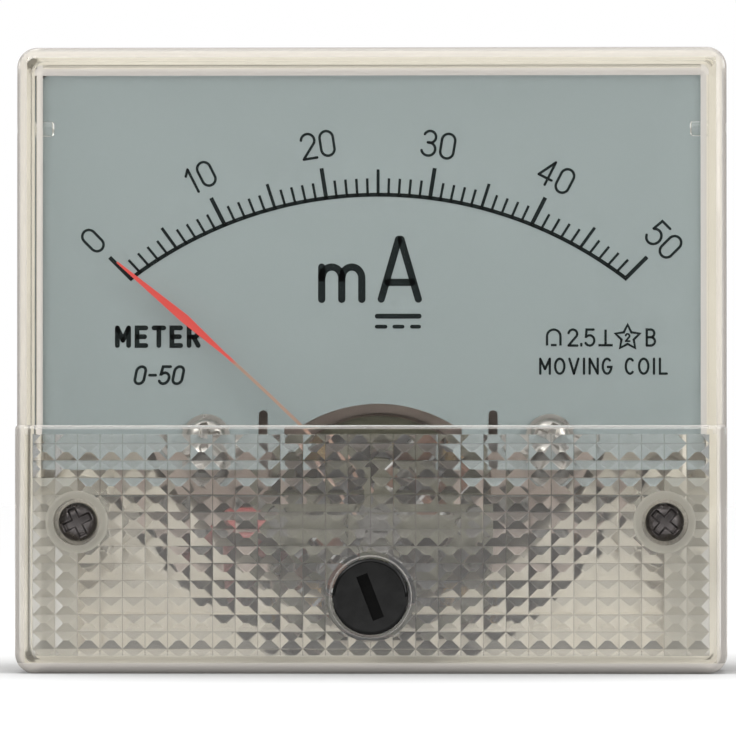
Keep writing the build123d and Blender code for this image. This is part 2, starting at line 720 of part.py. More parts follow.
def spring_holder(front):
    """Ring on a bearing screw with an arm and a bent tab that holds a hairspring's outer end."""
    face, facing = outward(front)
    near = face + facing * (BRIDGE_THICK + LEVER_GAP)
    low, high = sorted((near, near + facing * LEVER_THICK))
    ring = tube(LEVER_HUB_R, BEARING_R + LEVER_FIT, low, high)
    start = hairspring_tab_y()
    ring += block(-TAB_WIDE / 2, TAB_WIDE / 2, LEVER_HUB_R - LEVER_BITE, start + TAB_THICK, low, high)
    spring_low, spring_high = spring_levels(front)
    tab_low, tab_high = sorted((near + facing * LEVER_THICK, spring_low if front else spring_high))
    return ring + block(-TAB_WIDE / 2, TAB_WIDE / 2, start, start + TAB_THICK, tab_low, tab_high)


def hairspring_tab_y():
    """How far above the pivot the hairspring's last half turn passes."""
    return SPRING_INNER_R + SPRING_STRIP + SPRING_TURNS * SPRING_PITCH / 2


def make_zero_lever():
    """Forked lever: the knob's pin swings the fork, the tab turns the hairspring and the tail balances it."""
    near = BRIDGE_FACE + LEVER_GAP
    high = near + LEVER_THICK
    reach = PIVOT_TO_KNOB - KNOB_PIN_OFFSET
    slot_half = KNOB_PIN_R + FORK_GAP
    wide = slot_half + FORK_WALL
    arm = block(-wide, wide, -reach - FORK_REACH, -LEVER_HUB_R + LEVER_BITE, near, high)
    arm = chamfer(arm.edges().filter_by(Axis.Z).group_by(Axis.Y)[-1], FORK_WALL)
    slot = block(-slot_half, slot_half, -reach - FORK_REACH, -reach + slot_half, near, high)
    tail = block(-wide, wide, LEVER_HUB_R - LEVER_BITE, LEVER_TAIL, near, high)
    tail = chamfer(tail.edges().filter_by(Axis.Z).group_by(Axis.Y)[-1], FORK_WALL)
    lever = Rot(0, 0, -FORK_LINE) * (arm + tail - slot)
    return PIVOT * (spring_holder(True) + lever - disc(BEARING_R + LEVER_FIT, near, high))


def make_rear_spring_tab():
    """Fixed holder of the rear hairspring's outer end."""
    return PIVOT * spring_holder(False)


def coil_frame(inner_r, outer_r, inner_half, outer_half, wide):
    """Rectangular frame round the core, laid across at mid-scale and turned to the zero mark."""
    frame = Rot(90, 0, 0) * extrude(Rectangle(2 * outer_r, 2 * outer_half), wide / 2, both=True)
    hole = Rot(90, 0, 0) * extrude(Rectangle(2 * inner_r, 2 * inner_half), wide, both=True)
    return frame, hole


def turned_to_zero(part):
    """Turn a piece of the swinging coil from mid-scale to the zero mark and put it on the pivot."""
    return PIVOT * Rot(0, 0, ZERO_ANGLE) * Pos(0, 0, MOVE_MID) * part


def make_coil_former():
    """Folded aluminium former: a channel whose flanges keep the wire in."""
    flange, hole = coil_frame(COIL_INNER_R, COIL_OUTER_R, COIL_INNER_HALF, COIL_OUTER_HALF, COIL_WIDTH)
    bed_r = COIL_INNER_R + FORMER_THICK
    bed_half = COIL_INNER_HALF + FORMER_THICK
    channel = COIL_WIDTH - 2 * FORMER_THICK
    room, bed = coil_frame(bed_r, COIL_OUTER_R + 1, bed_half, COIL_OUTER_HALF + 1, channel)
    core_bed = bed & room
    return turned_to_zero(flange - (room - core_bed) - hole)


def make_coil_winding():
    """Copper winding that fills the former's channel, round at its outer corners."""
    bed_r = COIL_INNER_R + FORMER_THICK
    bed_half = COIL_INNER_HALF + FORMER_THICK
    channel = COIL_WIDTH - 2 * FORMER_THICK
    body, hole = coil_frame(bed_r, COIL_OUTER_R, bed_half, COIL_OUTER_HALF, channel)
    body = fillet(body.edges().filter_by(Axis.Y), WINDING_ROUND)
    return turned_to_zero(body - hole)


def make_pointer():
    """Thin tube from the hub with a slight knee and bow, ending in a flat lance blade."""
    tip = Vector(*POINTER_TIP)
    knee = Vector(*POINTER_KNEE)
    bow = ThreePointArc(knee, Vector(*POINTER_BOW), tip)
    ray = (tip - knee).normalized()
    side = Vector(-ray.Y, ray.X)
    along = (tip - knee).length

    def at(radius, offset):
        share = (radius - knee.length) / (tip.length - knee.length)
        middle = bow @ max(0.0, min(1.0, share))
        return middle + side * offset

    tube_end = (BLADE_START_R - knee.length + 1.0) / along
    strip = trace(Line(Vector(0, 0), knee), 2 * POINTER_TUBE_R)
    strip += trace(bow.trim(0, tube_end), 2 * POINTER_TUBE_R)
    strip += Pos(knee) * Circle(POINTER_TUBE_R)
    stem = extrude(strip, POINTER_TUBE_R, both=True)
    outline = Polyline(
        at(BLADE_START_R, -BLADE_ROOT / 2),
        at(BLADE_WIDE_R, -BLADE_WIDE / 2),
        at(tip.length, -BLADE_TIP / 2),
        at(tip.length, BLADE_TIP / 2),
        at(BLADE_WIDE_R, BLADE_WIDE / 2),
        at(BLADE_START_R, BLADE_ROOT / 2),
        close=True,
    )
    blade = Pos(0, 0, -BLADE_THICK / 2) * extrude(make_face(outline), BLADE_THICK)
    root = tube(HUB_R, STAFF_R, -POINTER_TUBE_R, POINTER_TUBE_R)
    body = stem + blade + root - disc(STAFF_R, -1, 1)
    return PIVOT * Pos(0, 0, POINTER_LEVEL) * body


def cross_arm(turn):
    """One arm of the balance cross, along the given way."""
    bar = Rot(-90, 0, 0) * extrude(Circle(ARM_R), ARM_LONG)
    return Rot(0, 0, ZERO_ANGLE + turn) * bar


def make_balance_cross():
    """Hub on the staff with a tail and two side arms for the weights."""
    high = POINTER_LEVEL - POINTER_TUBE_R
    middle = high - HUB_THICK / 2
    cross = tube(HUB_R, STAFF_R, high - HUB_THICK, high)
    for turn in (90, 180, 270):
        cross += Pos(0, 0, middle) * cross_arm(turn)
    return PIVOT * (cross - disc(STAFF_R, high - HUB_THICK, high))


def make_balance_weights():
    """Three small sleeves on the arms of the cross, set to balance the pointer."""
    middle = POINTER_LEVEL - POINTER_TUBE_R - HUB_THICK / 2
    weights = []
    for turn, place in ((90, SIDE_WEIGHT_OUT), (180, TAIL_WEIGHT_OUT), (270, SIDE_WEIGHT_OUT)):
        ring = extrude(Circle(WEIGHT_R) - Circle(ARM_R + WEIGHT_FIT), WEIGHT_LONG)
        sleeve = Pos(0, place, 0) * Rot(-90, 0, 0) * ring
        weights.append(PIVOT * Pos(0, 0, middle) * Rot(0, 0, ZERO_ANGLE + turn) * sleeve)
    return weights


def make_shunt_bobbin():
    """Spool on a peg of the barrel's floor."""
    spool = disc(SHUNT_FLANGE_R, FLOOR, FLOOR + SHUNT_FLANGE)
    spool += disc(SHUNT_CORE_R, FLOOR, FLOOR + SHUNT_LONG)
    spool += disc(SHUNT_FLANGE_R, FLOOR + SHUNT_LONG - SHUNT_FLANGE, FLOOR + SHUNT_LONG)
    spool -= disc(SHUNT_BORE_R, FLOOR, FLOOR + SHUNT_LONG)
    return Pos(0, SHUNT_RISE, 0) * spool


def make_shunt_winding():
    """Enamelled wire between the spool's flanges."""
    low = FLOOR + SHUNT_FLANGE
    high = FLOOR + SHUNT_LONG - SHUNT_FLANGE
    return tube(SHUNT_WIRE_R, SHUNT_CORE_R, low, high, 0, SHUNT_RISE)


def terminal_stack():
    """Levels behind the barrel: pad, washer, inner nut, lug and outer nut, one on the other."""
    levels = [-BARREL_DEPTH - TERMINAL_PAD]
    for thick in (TERMINAL_WASHER, TERMINAL_NUT, LUG_THICK, TERMINAL_NUT):
        levels.append(levels[-1] - thick)
    return levels


def make_terminal_studs():
    """Two threaded terminals, heads inside the barrel."""
    studs = []
    for side in BOTH_SIDES:
        x = side * TERMINAL_HALF
        shank = disc(TERMINAL_R, -BARREL_DEPTH - TERMINAL_OUT, FLOOR, x, 0)
        shank = chamfer(shank.faces().sort_by(Axis.Z)[0].edges(), TERMINAL_R * THREAD_EDGE)
        studs.append(shank + disc(TERMINAL_HEAD_R, FLOOR, FLOOR + TERMINAL_HEAD, x, 0))
    return studs


def make_terminal_washers():
    """Flat washers against the barrel's back."""
    levels = terminal_stack()
    places = [side * TERMINAL_HALF for side in BOTH_SIDES]
    return [tube(TERMINAL_WASHER_R, TERMINAL_R, levels[1], levels[0], x, 0) for x in places]


def make_terminal_nuts(first):
    """One nut on each terminal, between two levels of the stack."""
    levels = terminal_stack()
    places = [side * TERMINAL_HALF for side in BOTH_SIDES]
    high = levels[first]
    low = levels[first + 1]
    return [hexagon(TERMINAL_NUT_FLATS, TERMINAL_R, low, high, x, 0) for x in places]


def make_solder_lugs():
    """Stamped tags between the nuts, with a narrow tail and an eye for the wire."""
    levels = terminal_stack()
    lugs = []
    for side in BOTH_SIDES:
        tail = Pos(0, -LUG_LONG / 2) * Rectangle(LUG_TAIL, LUG_LONG)
        end = Pos(0, -LUG_LONG) * Circle(LUG_TAIL / 2)
        tag = Circle(LUG_R) + tail + end - Circle(TERMINAL_R) - Pos(0, -LUG_LONG) * Circle(LUG_EYE_R)
        lugs.append(Pos(side * TERMINAL_HALF, 0, levels[3]) * extrude(tag, LUG_THICK))
    return lugs


def insulated_lead(points):
    """Round wire along straight runs joined by arcs as large as the runs allow."""
    vectors = [Vector(*p) for p in points]
    radii = []
    for before, here, after in zip(vectors, vectors[1:], vectors[2:]):
        run = min((here - before).length, (after - here).length)
        turn = (here - before).get_angle(after - here)
        radii.append(0.45 * run / math.tan(math.radians(turn / 2)))
    print("lead radii", [round(r, 1) for r in radii])
    path = FilletPolyline(*vectors, radius=radii)
    profile = Plane(origin=path @ 0, z_dir=path % 0) * Circle(LEAD_R)
    return sweep(profile, path=path)


def make_red_lead():
    """Red wire from the left terminal, under the bracket's left wing, to the front bridge's end."""
    head = FLOOR + TERMINAL_HEAD
    side = PIVOT_X - YOKE_R
    under = -BRACKET_BOTTOM - LEAD_R
    end = (PIVOT_X - BRIDGE_HALF, PIVOT_Y, FRONT_BRIDGE + BRIDGE_THICK / 2)
    return insulated_lead(
        [
            (-TERMINAL_HALF, 0, head),
            (-TERMINAL_HALF, 0, head + 5.0),
            (side - 1.2, -8.5, head + 9.5),
            (side - 2.8, under - 1.4, head + 15.0),
            (side - 3.4, under - 1.8, head + 24.0),
            (end[0] - 2.9, end[1], end[2]),
            end,
        ]
    )


def make_black_lead():
    """Black wire from the right terminal to the outer face of the rear bridge."""
    head = FLOOR + TERMINAL_HEAD
    end = (PIVOT_X + BRIDGE_HALF / 2, PIVOT_Y, REAR_BRIDGE - BRIDGE_THICK)
    level = head + (end[2] - head) * LEAD_SHARE
    return insulated_lead(
        [
            (TERMINAL_HALF, 0, head),
            (TERMINAL_HALF, 0, level - LEAD_LIFT),
            (TERMINAL_HALF - LEAD_IN, PIVOT_Y / 2, level),
            (end[0], end[1], level + LEAD_LIFT),
            end,
        ]
    )


def make_mounting_studs():
    """The two studs that fasten the meter to its panel."""
    return [mounting_stud(side) for side in BOTH_SIDES]


def all_pieces():
    """Every piece of the meter by name, as one solid or a list of like solids."""
    return {
        "front_cover": make_front_cover(),
        "rear_housing": make_rear_housing(),
        "cover_screws": make_cover_screws(),
        "mounting_studs": make_mounting_studs(),
        "zero_adjuster": make_zero_adjuster(),
        "adjuster_retainer": make_adjuster_retainer(),
        "zero_lever": make_zero_lever(),
        "dial_plate": make_dial_plate(),
        "dial_screws": make_dial_screws(),
        "dial_washers": make_dial_washers(),
        "movement_bracket": make_movement_bracket(),
        "bracket_screws": make_bracket_screws(),
        "yoke_ring": make_yoke_ring(),
        "core_magnet": make_core_magnet(),
        "front_core_holder": make_core_holder(True),
        "rear_core_holder": make_core_holder(False),
        "front_posts": make_posts(True),
        "rear_posts": make_posts(False),
        "front_bridge": make_bridge(FRONT_BRIDGE),
        "rear_bridge": make_bridge(REAR_BRIDGE - BRIDGE_THICK),
        "bridge_screws": make_bridge_screws(),
        "front_bearing_screw": make_bearing_screw(True),
        "rear_bearing_screw": make_bearing_screw(False),
        "bearing_nuts": make_bearing_nuts(),
        "rear_spring_tab": make_rear_spring_tab(),
        "coil_former": make_coil_former(),
        "coil_winding": make_coil_winding(),
        "front_staff": make_staff(True),
        "rear_staff": make_staff(False),
        "pointer": make_pointer(),
        "balance_cross": make_balance_cross(),
        "balance_weights": make_balance_weights(),
        "front_hairspring": make_hairspring(True),
        "rear_hairspring": make_hairspring(False),
        "shunt_bobbin": make_shunt_bobbin(),
        "shunt_winding": make_shunt_winding(),
        "terminal_studs": make_terminal_studs(),
        "terminal_washers": make_terminal_washers(),
        "terminal_inner_nuts": make_terminal_nuts(1),
        "solder_lugs": make_solder_lugs(),
        "terminal_outer_nuts": make_terminal_nuts(3),
        "red_lead": make_red_lead(),
        "black_lead": make_black_lead(),
    }


def stand_up(piece):
    """Turn a piece, or a list of like pieces, so that the front looks along -Y and up is +Z."""
    upright = Rot(90, 0, 0)
    if isinstance(piece, list):
        return Compound([upright * solid for part in piece for solid in part.solids()])
    return upright * piece


os.makedirs("parts", exist_ok=True)
for name, piece in all_pieces().items():
    export_step(stand_up(piece), f"parts/{name}.step")
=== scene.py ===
"""Analog panel meter: finishes, dial print, threads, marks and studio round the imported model.

The file is laid out as an add-on and is run as a script. Lengths in the code are in metres, worked out
from millimetre values. The meter's front looks along -Y, its barrel along +Y, and up is +Z.
"""

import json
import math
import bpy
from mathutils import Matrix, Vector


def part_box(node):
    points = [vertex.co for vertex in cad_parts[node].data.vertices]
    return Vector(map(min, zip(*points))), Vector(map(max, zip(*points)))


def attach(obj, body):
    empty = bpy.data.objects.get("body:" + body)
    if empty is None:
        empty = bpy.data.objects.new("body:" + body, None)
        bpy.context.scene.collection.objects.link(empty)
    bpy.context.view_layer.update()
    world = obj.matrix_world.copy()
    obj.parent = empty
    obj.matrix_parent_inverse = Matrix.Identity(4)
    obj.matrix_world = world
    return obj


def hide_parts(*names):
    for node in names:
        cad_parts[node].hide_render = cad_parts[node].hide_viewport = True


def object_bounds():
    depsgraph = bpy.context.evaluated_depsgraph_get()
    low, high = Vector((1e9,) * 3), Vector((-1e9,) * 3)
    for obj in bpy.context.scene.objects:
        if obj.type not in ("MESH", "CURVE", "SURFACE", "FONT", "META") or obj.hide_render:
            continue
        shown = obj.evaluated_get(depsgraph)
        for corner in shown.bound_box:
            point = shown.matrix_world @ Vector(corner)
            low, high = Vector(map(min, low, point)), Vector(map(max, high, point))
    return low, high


bl_info = {
    "name": "Panel Meter Looks",
    "version": (1, 0, 0),
    "blender": (4, 5, 0),
    "location": "View3D > Sidebar > Panel Meter",
    "description": "Finishes, dial print, threads and studio for a moving-coil panel meter",
    "category": "Object",
}

import bpy
import numpy as np

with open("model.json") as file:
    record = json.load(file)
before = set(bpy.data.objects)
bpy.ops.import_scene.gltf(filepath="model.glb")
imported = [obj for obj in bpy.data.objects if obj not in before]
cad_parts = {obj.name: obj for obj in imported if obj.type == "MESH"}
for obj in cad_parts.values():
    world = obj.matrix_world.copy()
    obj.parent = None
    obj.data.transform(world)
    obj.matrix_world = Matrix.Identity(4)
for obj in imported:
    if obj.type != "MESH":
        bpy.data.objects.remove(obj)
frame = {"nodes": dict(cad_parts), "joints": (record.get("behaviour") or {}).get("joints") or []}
CAD_BOX = [list(corner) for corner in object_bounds()]
MM = 0.001

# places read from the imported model
DIAL_LOW, DIAL_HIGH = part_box("dial_plate")
COVER_LOW, COVER_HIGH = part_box("front_cover")
TERMINAL_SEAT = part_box("terminal_washers")[0].y
STUD_LOW, STUD_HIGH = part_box("mounting_studs")
TERMINAL_LOW, TERMINAL_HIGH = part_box("terminal_studs")
KNOB_LOW, KNOB_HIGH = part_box("zero_adjuster")
KNOB_MIDDLE = (KNOB_LOW.z + KNOB_HIGH.z) / 2
PIVOT = next(j["pos_m"] for j in frame["joints"] if j["name"] == "pointer_swing")

# print on the dial
SCALE_END_ANGLE = 45.0
SCALE_DIVISIONS = 50
INK_THICK = 0.02 * MM
ARC_STEPS = 120
NUMBER_TEXTS = ("0", "10", "20", "30", "40", "50")


def amount(name, description, default, **options):
    """Number that can be set in the sidebar."""
    return bpy.props.FloatProperty(name=name, description=description, default=default, **options)


def metres(name, description, default):
    """Length that can be set in the sidebar."""
    return amount(name, description, default, unit="LENGTH")


def degrees(name, description, default):
    """Angle that can be set in the sidebar, given in degrees."""
    return amount(name, description, math.radians(default), subtype="ANGLE")


def colour_of(name, description, default):
    """Colour that can be set in the sidebar."""
    return bpy.props.FloatVectorProperty(
        name=name, description=description, default=default, subtype="COLOR", min=0.0, max=1.0
    )


class PrintSettings(bpy.types.PropertyGroup):
    """Sizes and colour of the print on the dial."""

    arc_radius: metres("Arc Radius", "Radius of the scale's base line", 36.99 * MM)
    arc_drop: metres("Arc Centre Drop", "From the pivot down to the base line's centre", 6.9 * MM)
    arc_line: metres("Arc Line", "Width of the base line", 0.36 * MM)
    major_long: metres("Numbered Mark", "Length of a numbered mark", 2.75 * MM)
    middle_long: metres("Middle Mark", "Length of a mark at every fifth unit", 2.3 * MM)
    minor_long: metres("Small Mark", "Length of a mark at every unit", 1.5 * MM)
    major_line: metres("Numbered Line", "Width of a numbered mark", 0.37 * MM)
    middle_line: metres("Middle Line", "Width of a middle mark", 0.28 * MM)
    minor_line: metres("Small Line", "Width of a small mark", 0.23 * MM)
    number_high: metres("Figure Height", "Height of the scale's figures", 2.25 * MM)
    number_line: metres("Figure Stroke", "Stroke of the scale's figures", 0.24 * MM)
    number_out: metres("Figure Distance", "From the base line to the figures' middle", 4.9 * MM)
    ink: colour_of("Ink", "Colour of the print", (0.004, 0.008, 0.008))


class FinishSettings(bpy.types.PropertyGroup):
    """Colours of the main finishes."""

    dial: colour_of("Dial", "Grey-blue paint of the dial", (0.237, 0.276, 0.278))
    base: colour_of("Base", "Beige plastic of the base", (0.57, 0.53, 0.45))
    clear: colour_of("Cover", "Tint of the clear cover", (0.975, 0.975, 0.965))
    blade: colour_of("Pointer Blade", "Red lacquer of the pointer's blade", (0.56, 0.055, 0.045))
    stem: colour_of("Pointer Stem", "Lacquer of the pointer's thin tube", (0.33, 0.21, 0.16))
    knob: colour_of("Knob", "Black plastic of the zero adjuster", (0.003, 0.003, 0.0028))


class ThreadSettings(bpy.types.PropertyGroup):
    """Threads of the studs and terminals, and the marks beside them."""

    stud_pitch: metres("Stud Pitch", "Thread pitch of the mounting studs", 0.5 * MM)
    terminal_pitch: metres("Terminal Pitch", "Thread pitch of the terminals", 0.7 * MM)
    depth_share: amount("Thread Depth", "Depth as a share of the pitch", 0.5, min=0.1, max=0.6)
    mark_high: metres("Polarity Mark", "Width of the moulded plus and minus marks", 2.8 * MM)


class StageSettings(bpy.types.PropertyGroup):
    """Camera, lights and floor."""

    distance: metres("Camera Distance", "From the camera to the cover's face", 0.70)
    turn: degrees("Camera Turn", "How far the camera stands to the right of square-on", 1.7)
    tilt: degrees("Camera Tilt", "How far the camera stands below square-on", 0.8)
    frame_width: metres("Frame Width", "Width of the picture at the cover's face", 66.0 * MM)
    centre_right: metres("Subject Right", "How far the meter lies right of the middle", 0.20 * MM)
    centre_up: metres("Subject Up", "How far the meter lies above the middle", 0.78 * MM)
    key_power: amount("Key Light", "Power of the large light at the upper left", 1.45, unit="POWER")
    fill_power: amount("Fill Light", "Power of the light at the right", 1.0, unit="POWER")
    overhead: amount("Overhead Light", "Strength of the light from above", 2.9, min=0.0, max=10.0)
    overhead_spread: degrees("Overhead Spread", "Width of the light from above, as an angle", 120.0)
    contact: metres("Contact Shade", "Reach of the shade where the meter meets the paper", 0.09)
    sky: amount("Room Light", "Strength of the even light from the room", 0.28, min=0.0, max=2.0)


def settings(name):
    """One of the scene's groups of settings."""
    return getattr(bpy.context.scene, name)


# meshes from arrays


def place_object(name, data):
    """New object in the scene for a mesh, light or camera."""
    made = bpy.data.objects.new(name, data)
    bpy.context.scene.collection.objects.link(made)
    return made


def mesh_object(name, points, faces, material):
    """New mesh object at the origin from points and faces."""
    mesh = bpy.data.meshes.new(name)
    mesh.from_pydata(points, [], faces)
    mesh.validate()
    mesh.update()
    mesh.materials.append(material)
    return place_object(name, mesh)


def add_piece(name, points, faces, material, body, slot, replaced=()):
    """Makes a mesh object from points and faces, ties it to a body and hides the nodes it replaces; slot is
    not used.
    """
    piece = mesh_object(name, points, faces, material)
    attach(piece, body)
    if replaced:
        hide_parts(*replaced)
    return piece


def join_meshes(parts):
    """Stacks (points, face arrays) pairs into points and a face list, each part's numbers moved on."""
    faces, start = [], 0
    for points, arrays in parts:
        for array in arrays:
            faces += (array + start).tolist()
        start += len(points)
    return np.concatenate([points for points, _ in parts]), faces


def corner_offsets(path, closed):
    """Left-hand offsets of unit distance at each point of a path, lengthened at corners to keep the width.

    The offset is the sum of the two neighbouring unit normals divided by one plus their dot product.
    """
    ahead = np.roll(path, -1, axis=0) - path
    if not closed:
        ahead[-1] = ahead[-2]
    ahead = ahead / np.linalg.norm(ahead, axis=1, keepdims=True)
    normal = np.stack([-ahead[:, 1], ahead[:, 0]], axis=1)
    before = np.roll(normal, 1, axis=0)
    if not closed:
        before[0] = normal[0]
    dot = np.clip((normal * before).sum(axis=1, keepdims=True), -0.5, 1.0)
    return (normal + before) / (1.0 + dot)


END_TURNS = np.radians([85.0, 60.0, 35.0, 12.0])


def ribbon(path, width, face, thick, facing=-1, closed=False, rounded=False):
    """Closed slab of even width that follows a path in the plane y = face and rises by thick towards facing.

    The path's points are moved half a width to each side, and both edges are carried to the two levels. A
    rounded end goes on by half a width times the sine of a growing angle and narrows by its cosine.
    """
    path = np.asarray(path, float)
    share = np.ones((len(path), 1))
    if rounded:
        ends = ((path[0] - path[1]), (path[-1] - path[-2]))
        start, stop = (end / np.linalg.norm(end) * width / 2 for end in ends)
        sine, cosine = np.sin(END_TURNS)[:, None], np.cos(END_TURNS)[:, None]
        path = np.concatenate([path[0] + sine * start, path, path[-1] + sine[::-1] * stop])
        share = np.concatenate([cosine, share, cosine[::-1]])
    offset = corner_offsets(path, closed) * width / 2 * share
    count = len(path)
    edges = np.concatenate([path + offset, path - offset])
    levels = np.repeat([face + facing * thick, face], 2 * count)
    flat = np.concatenate([edges, edges])
    points = np.stack([flat[:, 0], levels, flat[:, 1]], axis=1)
    corners = np.arange(4 * count).reshape(4, count)
    here = corners if closed else corners[:, :-1]
    there = np.roll(corners, -1, axis=1)[:, : here.shape[1]]
    left, right, deep_left, deep_right = zip(here, there)
    sides = (
        (right[0], right[1], left[1], left[0]),
        (deep_left[0], deep_left[1], deep_right[1], deep_right[0]),
        (right[0], deep_right[0], deep_right[1], right[1]),
        (left[1], deep_left[1], deep_left[0], left[0]),
    )
    quads = [np.stack(side, axis=1) for side in sides]
    if not closed:
        quads += [corners[[0, 2, 3, 1], :1].T, corners[[1, 3, 2, 0], -1:].T]
    faces = np.concatenate(quads)
    return points, [faces if facing < 0 else faces[:, ::-1]]


def printed(path, width, **options):
    """Ribbon of ink on the dial's face."""
    return ribbon(path, width, DIAL_LOW.y, INK_THICK, **options)


def closed_rings(rings, front_pole, back_pole):
    """Skin over a stack of rings that runs from front to back, closed to a pole at each end."""
    count, around = rings.shape[:2]
    points = np.concatenate([rings.reshape(-1, 3), [front_pole, back_pole]])
    row = np.arange(count - 1)[:, None] * around
    here = np.arange(around)
    there = (here + 1) % around
    walls = np.stack([row + here, row + around + here, row + around + there, row + there], axis=-1)
    last = (count - 1) * around
    front_cap = np.stack([np.full(around, len(points) - 2), here, there], axis=1)
    back_cap = np.stack([np.full(around, len(points) - 1), last + there, last + here], axis=1)
    return points, [walls.reshape(-1, 4), front_cap, back_cap]


def turned_rod(x, z, stations, pitch, depth, thread_low, thread_high, around=40, per_pitch=8):
    """Round rod along Y with a screw thread between two levels, closed at both ends.

    The radius is the profile's, less the depth times a triangle wave of (y / pitch - angle / turn). The wave
    fades out over one pitch at each end of the thread.
    """
    levels, radii = np.array(stations).T
    y = np.unique(np.concatenate([np.arange(levels[0], levels[-1], pitch / per_pitch), levels]))
    angle = np.linspace(0, 2 * math.pi, around, endpoint=False)
    grid_y, grid_a = np.meshgrid(y, angle, indexing="ij")
    wave = np.abs(2 * ((grid_y / pitch - grid_a / (2 * math.pi)) % 1.0) - 1)
    fade = np.clip(np.minimum(grid_y - thread_low, thread_high - grid_y) / pitch, 0, 1)
    radius = np.interp(grid_y, levels, radii) - depth * wave * fade
    rings = np.stack([x + radius * np.cos(grid_a), grid_y, z + radius * np.sin(grid_a)], axis=-1)
    return closed_rings(rings, (x, y[0], z), (x, y[-1], z))


# strokes of the figures and signs, one unit high


def line(*numbers):
    """Straight runs through the points x, y, x, y and so on."""
    return np.array(numbers, float).reshape(-1, 2)


def bow(x, y, wide, high, start, end):
    """Part of an ellipse about (x, y), from one angle to another in degrees."""
    steps = max(3, int(abs(end - start) / 10))
    angle = np.radians(np.linspace(start, end, steps))
    return np.stack([x + wide * np.cos(angle), y + high * np.sin(angle)], axis=1)


def run(*parts):
    """One stroke out of several runs, without doubled points."""
    points = np.concatenate(parts)
    keep = np.ones(len(points), bool)
    keep[1:] = np.linalg.norm(np.diff(points, axis=0), axis=1) > 1e-6
    return points[keep]


CLOSED_FORMS = "0O"


def glyphs():
    """Half width of each figure or letter, followed by its strokes."""
    ring = run(bow(0, 0.72, 0.27, 0.28, 0, 180), bow(0, 0.28, 0.27, 0.28, 180, 360)[:-1])
    stem, b_top = line(-0.25, 0, -0.25, 1), bow(0, 0.76, 0.22, 0.24, 90, -90)
    b_foot, r_top = bow(0, 0.26, 0.26, 0.26, 90, -90), bow(0, 0.74, 0.26, 0.26, 90, -90)
    m_left, m_right = (run(line(x - 0.31, 0.66), bow(x, 0.66, 0.31, 0.34, 150, 0)) for x in (-0.31, 0.31))
    five_top = line(0.24, 1, -0.20, 1, -0.24, 0.55)
    return {
        "0": (0.27, ring),
        "1": (0.16, line(-0.14, 0.78, 0.05, 1), line(0.05, 1, 0.05, 0)),
        "2": (0.27, run(bow(0, 0.73, 0.27, 0.27, 170, -30), line(-0.27, 0)), line(-0.27, 0, 0.28, 0)),
        "3": (
            0.27,
            bow(0, 0.76, 0.24, 0.24, 160, -90),
            bow(0, 0.27, 0.28, 0.27, 90, -160),
            line(-0.06, 0.53, 0.02, 0.53),
        ),
        "4": (0.29, line(0.12, 0, 0.12, 1), line(0.12, 1, -0.29, 0.27), line(-0.29, 0.27, 0.29, 0.27)),
        "5": (0.27, run(five_top, bow(-0.01, 0.32, 0.29, 0.32, 135, -150))),
        ".": (0.06, line(0, 0, 0, 0.1)),
        "-": (0.2, line(-0.18, 0.5, 0.18, 0.5)),
        " ": (0.15,),
        "A": (0.31, line(-0.31, 0, -0.02, 1), line(0.31, 0, 0.02, 1), line(-0.2, 0.28, 0.2, 0.28)),
        "B": (0.27, run(stem, b_top, line(-0.25, 0.52)), run(line(0, 0.52), b_foot, line(-0.25, 0))),
        "C": (0.27, bow(0, 0.5, 0.28, 0.5, 50, 310)),
        "E": (0.27, line(0.25, 1, -0.25, 1, -0.25, 0, 0.25, 0), line(-0.25, 0.5, 0.18, 0.5)),
        "G": (0.29, run(bow(0, 0.5, 0.29, 0.5, 50, 340), line(0.29, 0.45, 0.05, 0.45))),
        "I": (0.04, line(0, 0, 0, 1)),
        "L": (0.24, line(-0.22, 1, -0.22, 0, 0.24, 0)),
        "M": (
            0.34,
            line(-0.32, 0, -0.32, 1),
            line(-0.32, 1, 0, 0.3),
            line(0, 0.3, 0.32, 1),
            line(0.32, 1, 0.32, 0),
        ),
        "N": (0.27, line(-0.27, 0, -0.27, 1), line(-0.27, 1, 0.27, 0), line(0.27, 0, 0.27, 1)),
        "O": (0.31, bow(0, 0.5, 0.31, 0.5, 0, 360)[:-1]),
        "R": (0.27, run(stem, r_top, line(-0.25, 0.48)), line(0, 0.48, 0.27, 0)),
        "T": (0.28, line(-0.28, 1, 0.28, 1), line(0, 1, 0, 0)),
        "V": (0.3, line(-0.3, 1, 0, 0), line(0.3, 1, 0, 0)),
        "m": (0.62, line(-0.62, 0, -0.62, 1), run(m_left, line(0, 0)), run(m_right, line(0.62, 0))),
    }


def lettering(text, x, z, high, stroke, gap=0.2, slant=0.0, turn=0.0):
    """Ribbons of a text centred on (x, z) of the dial, leaned by slant and turned clockwise in degrees.

    The widths and the gap are shares of the letters' height.
    """
    forms = glyphs()
    total = sum(2 * forms[letter][0] for letter in text) + gap * (len(text) - 1)
    cosine, sine = math.cos(math.radians(turn)), math.sin(math.radians(turn))
    start = -total / 2
    parts = []
    for letter in text:
        half, *strokes = forms[letter]
        closed = letter in CLOSED_FORMS
        for points in strokes:
            across = points[:, 0] + start + half + slant * points[:, 1]
            up = points[:, 1] - 0.5
            right = x + high * (across * cosine + up * sine)
            above = z + high * (up * cosine - across * sine)
            parts.append(printed(np.stack([right, above], axis=1), stroke, closed=closed, rounded=not closed))
        start += 2 * half + gap
    return parts


# node groups and finishes


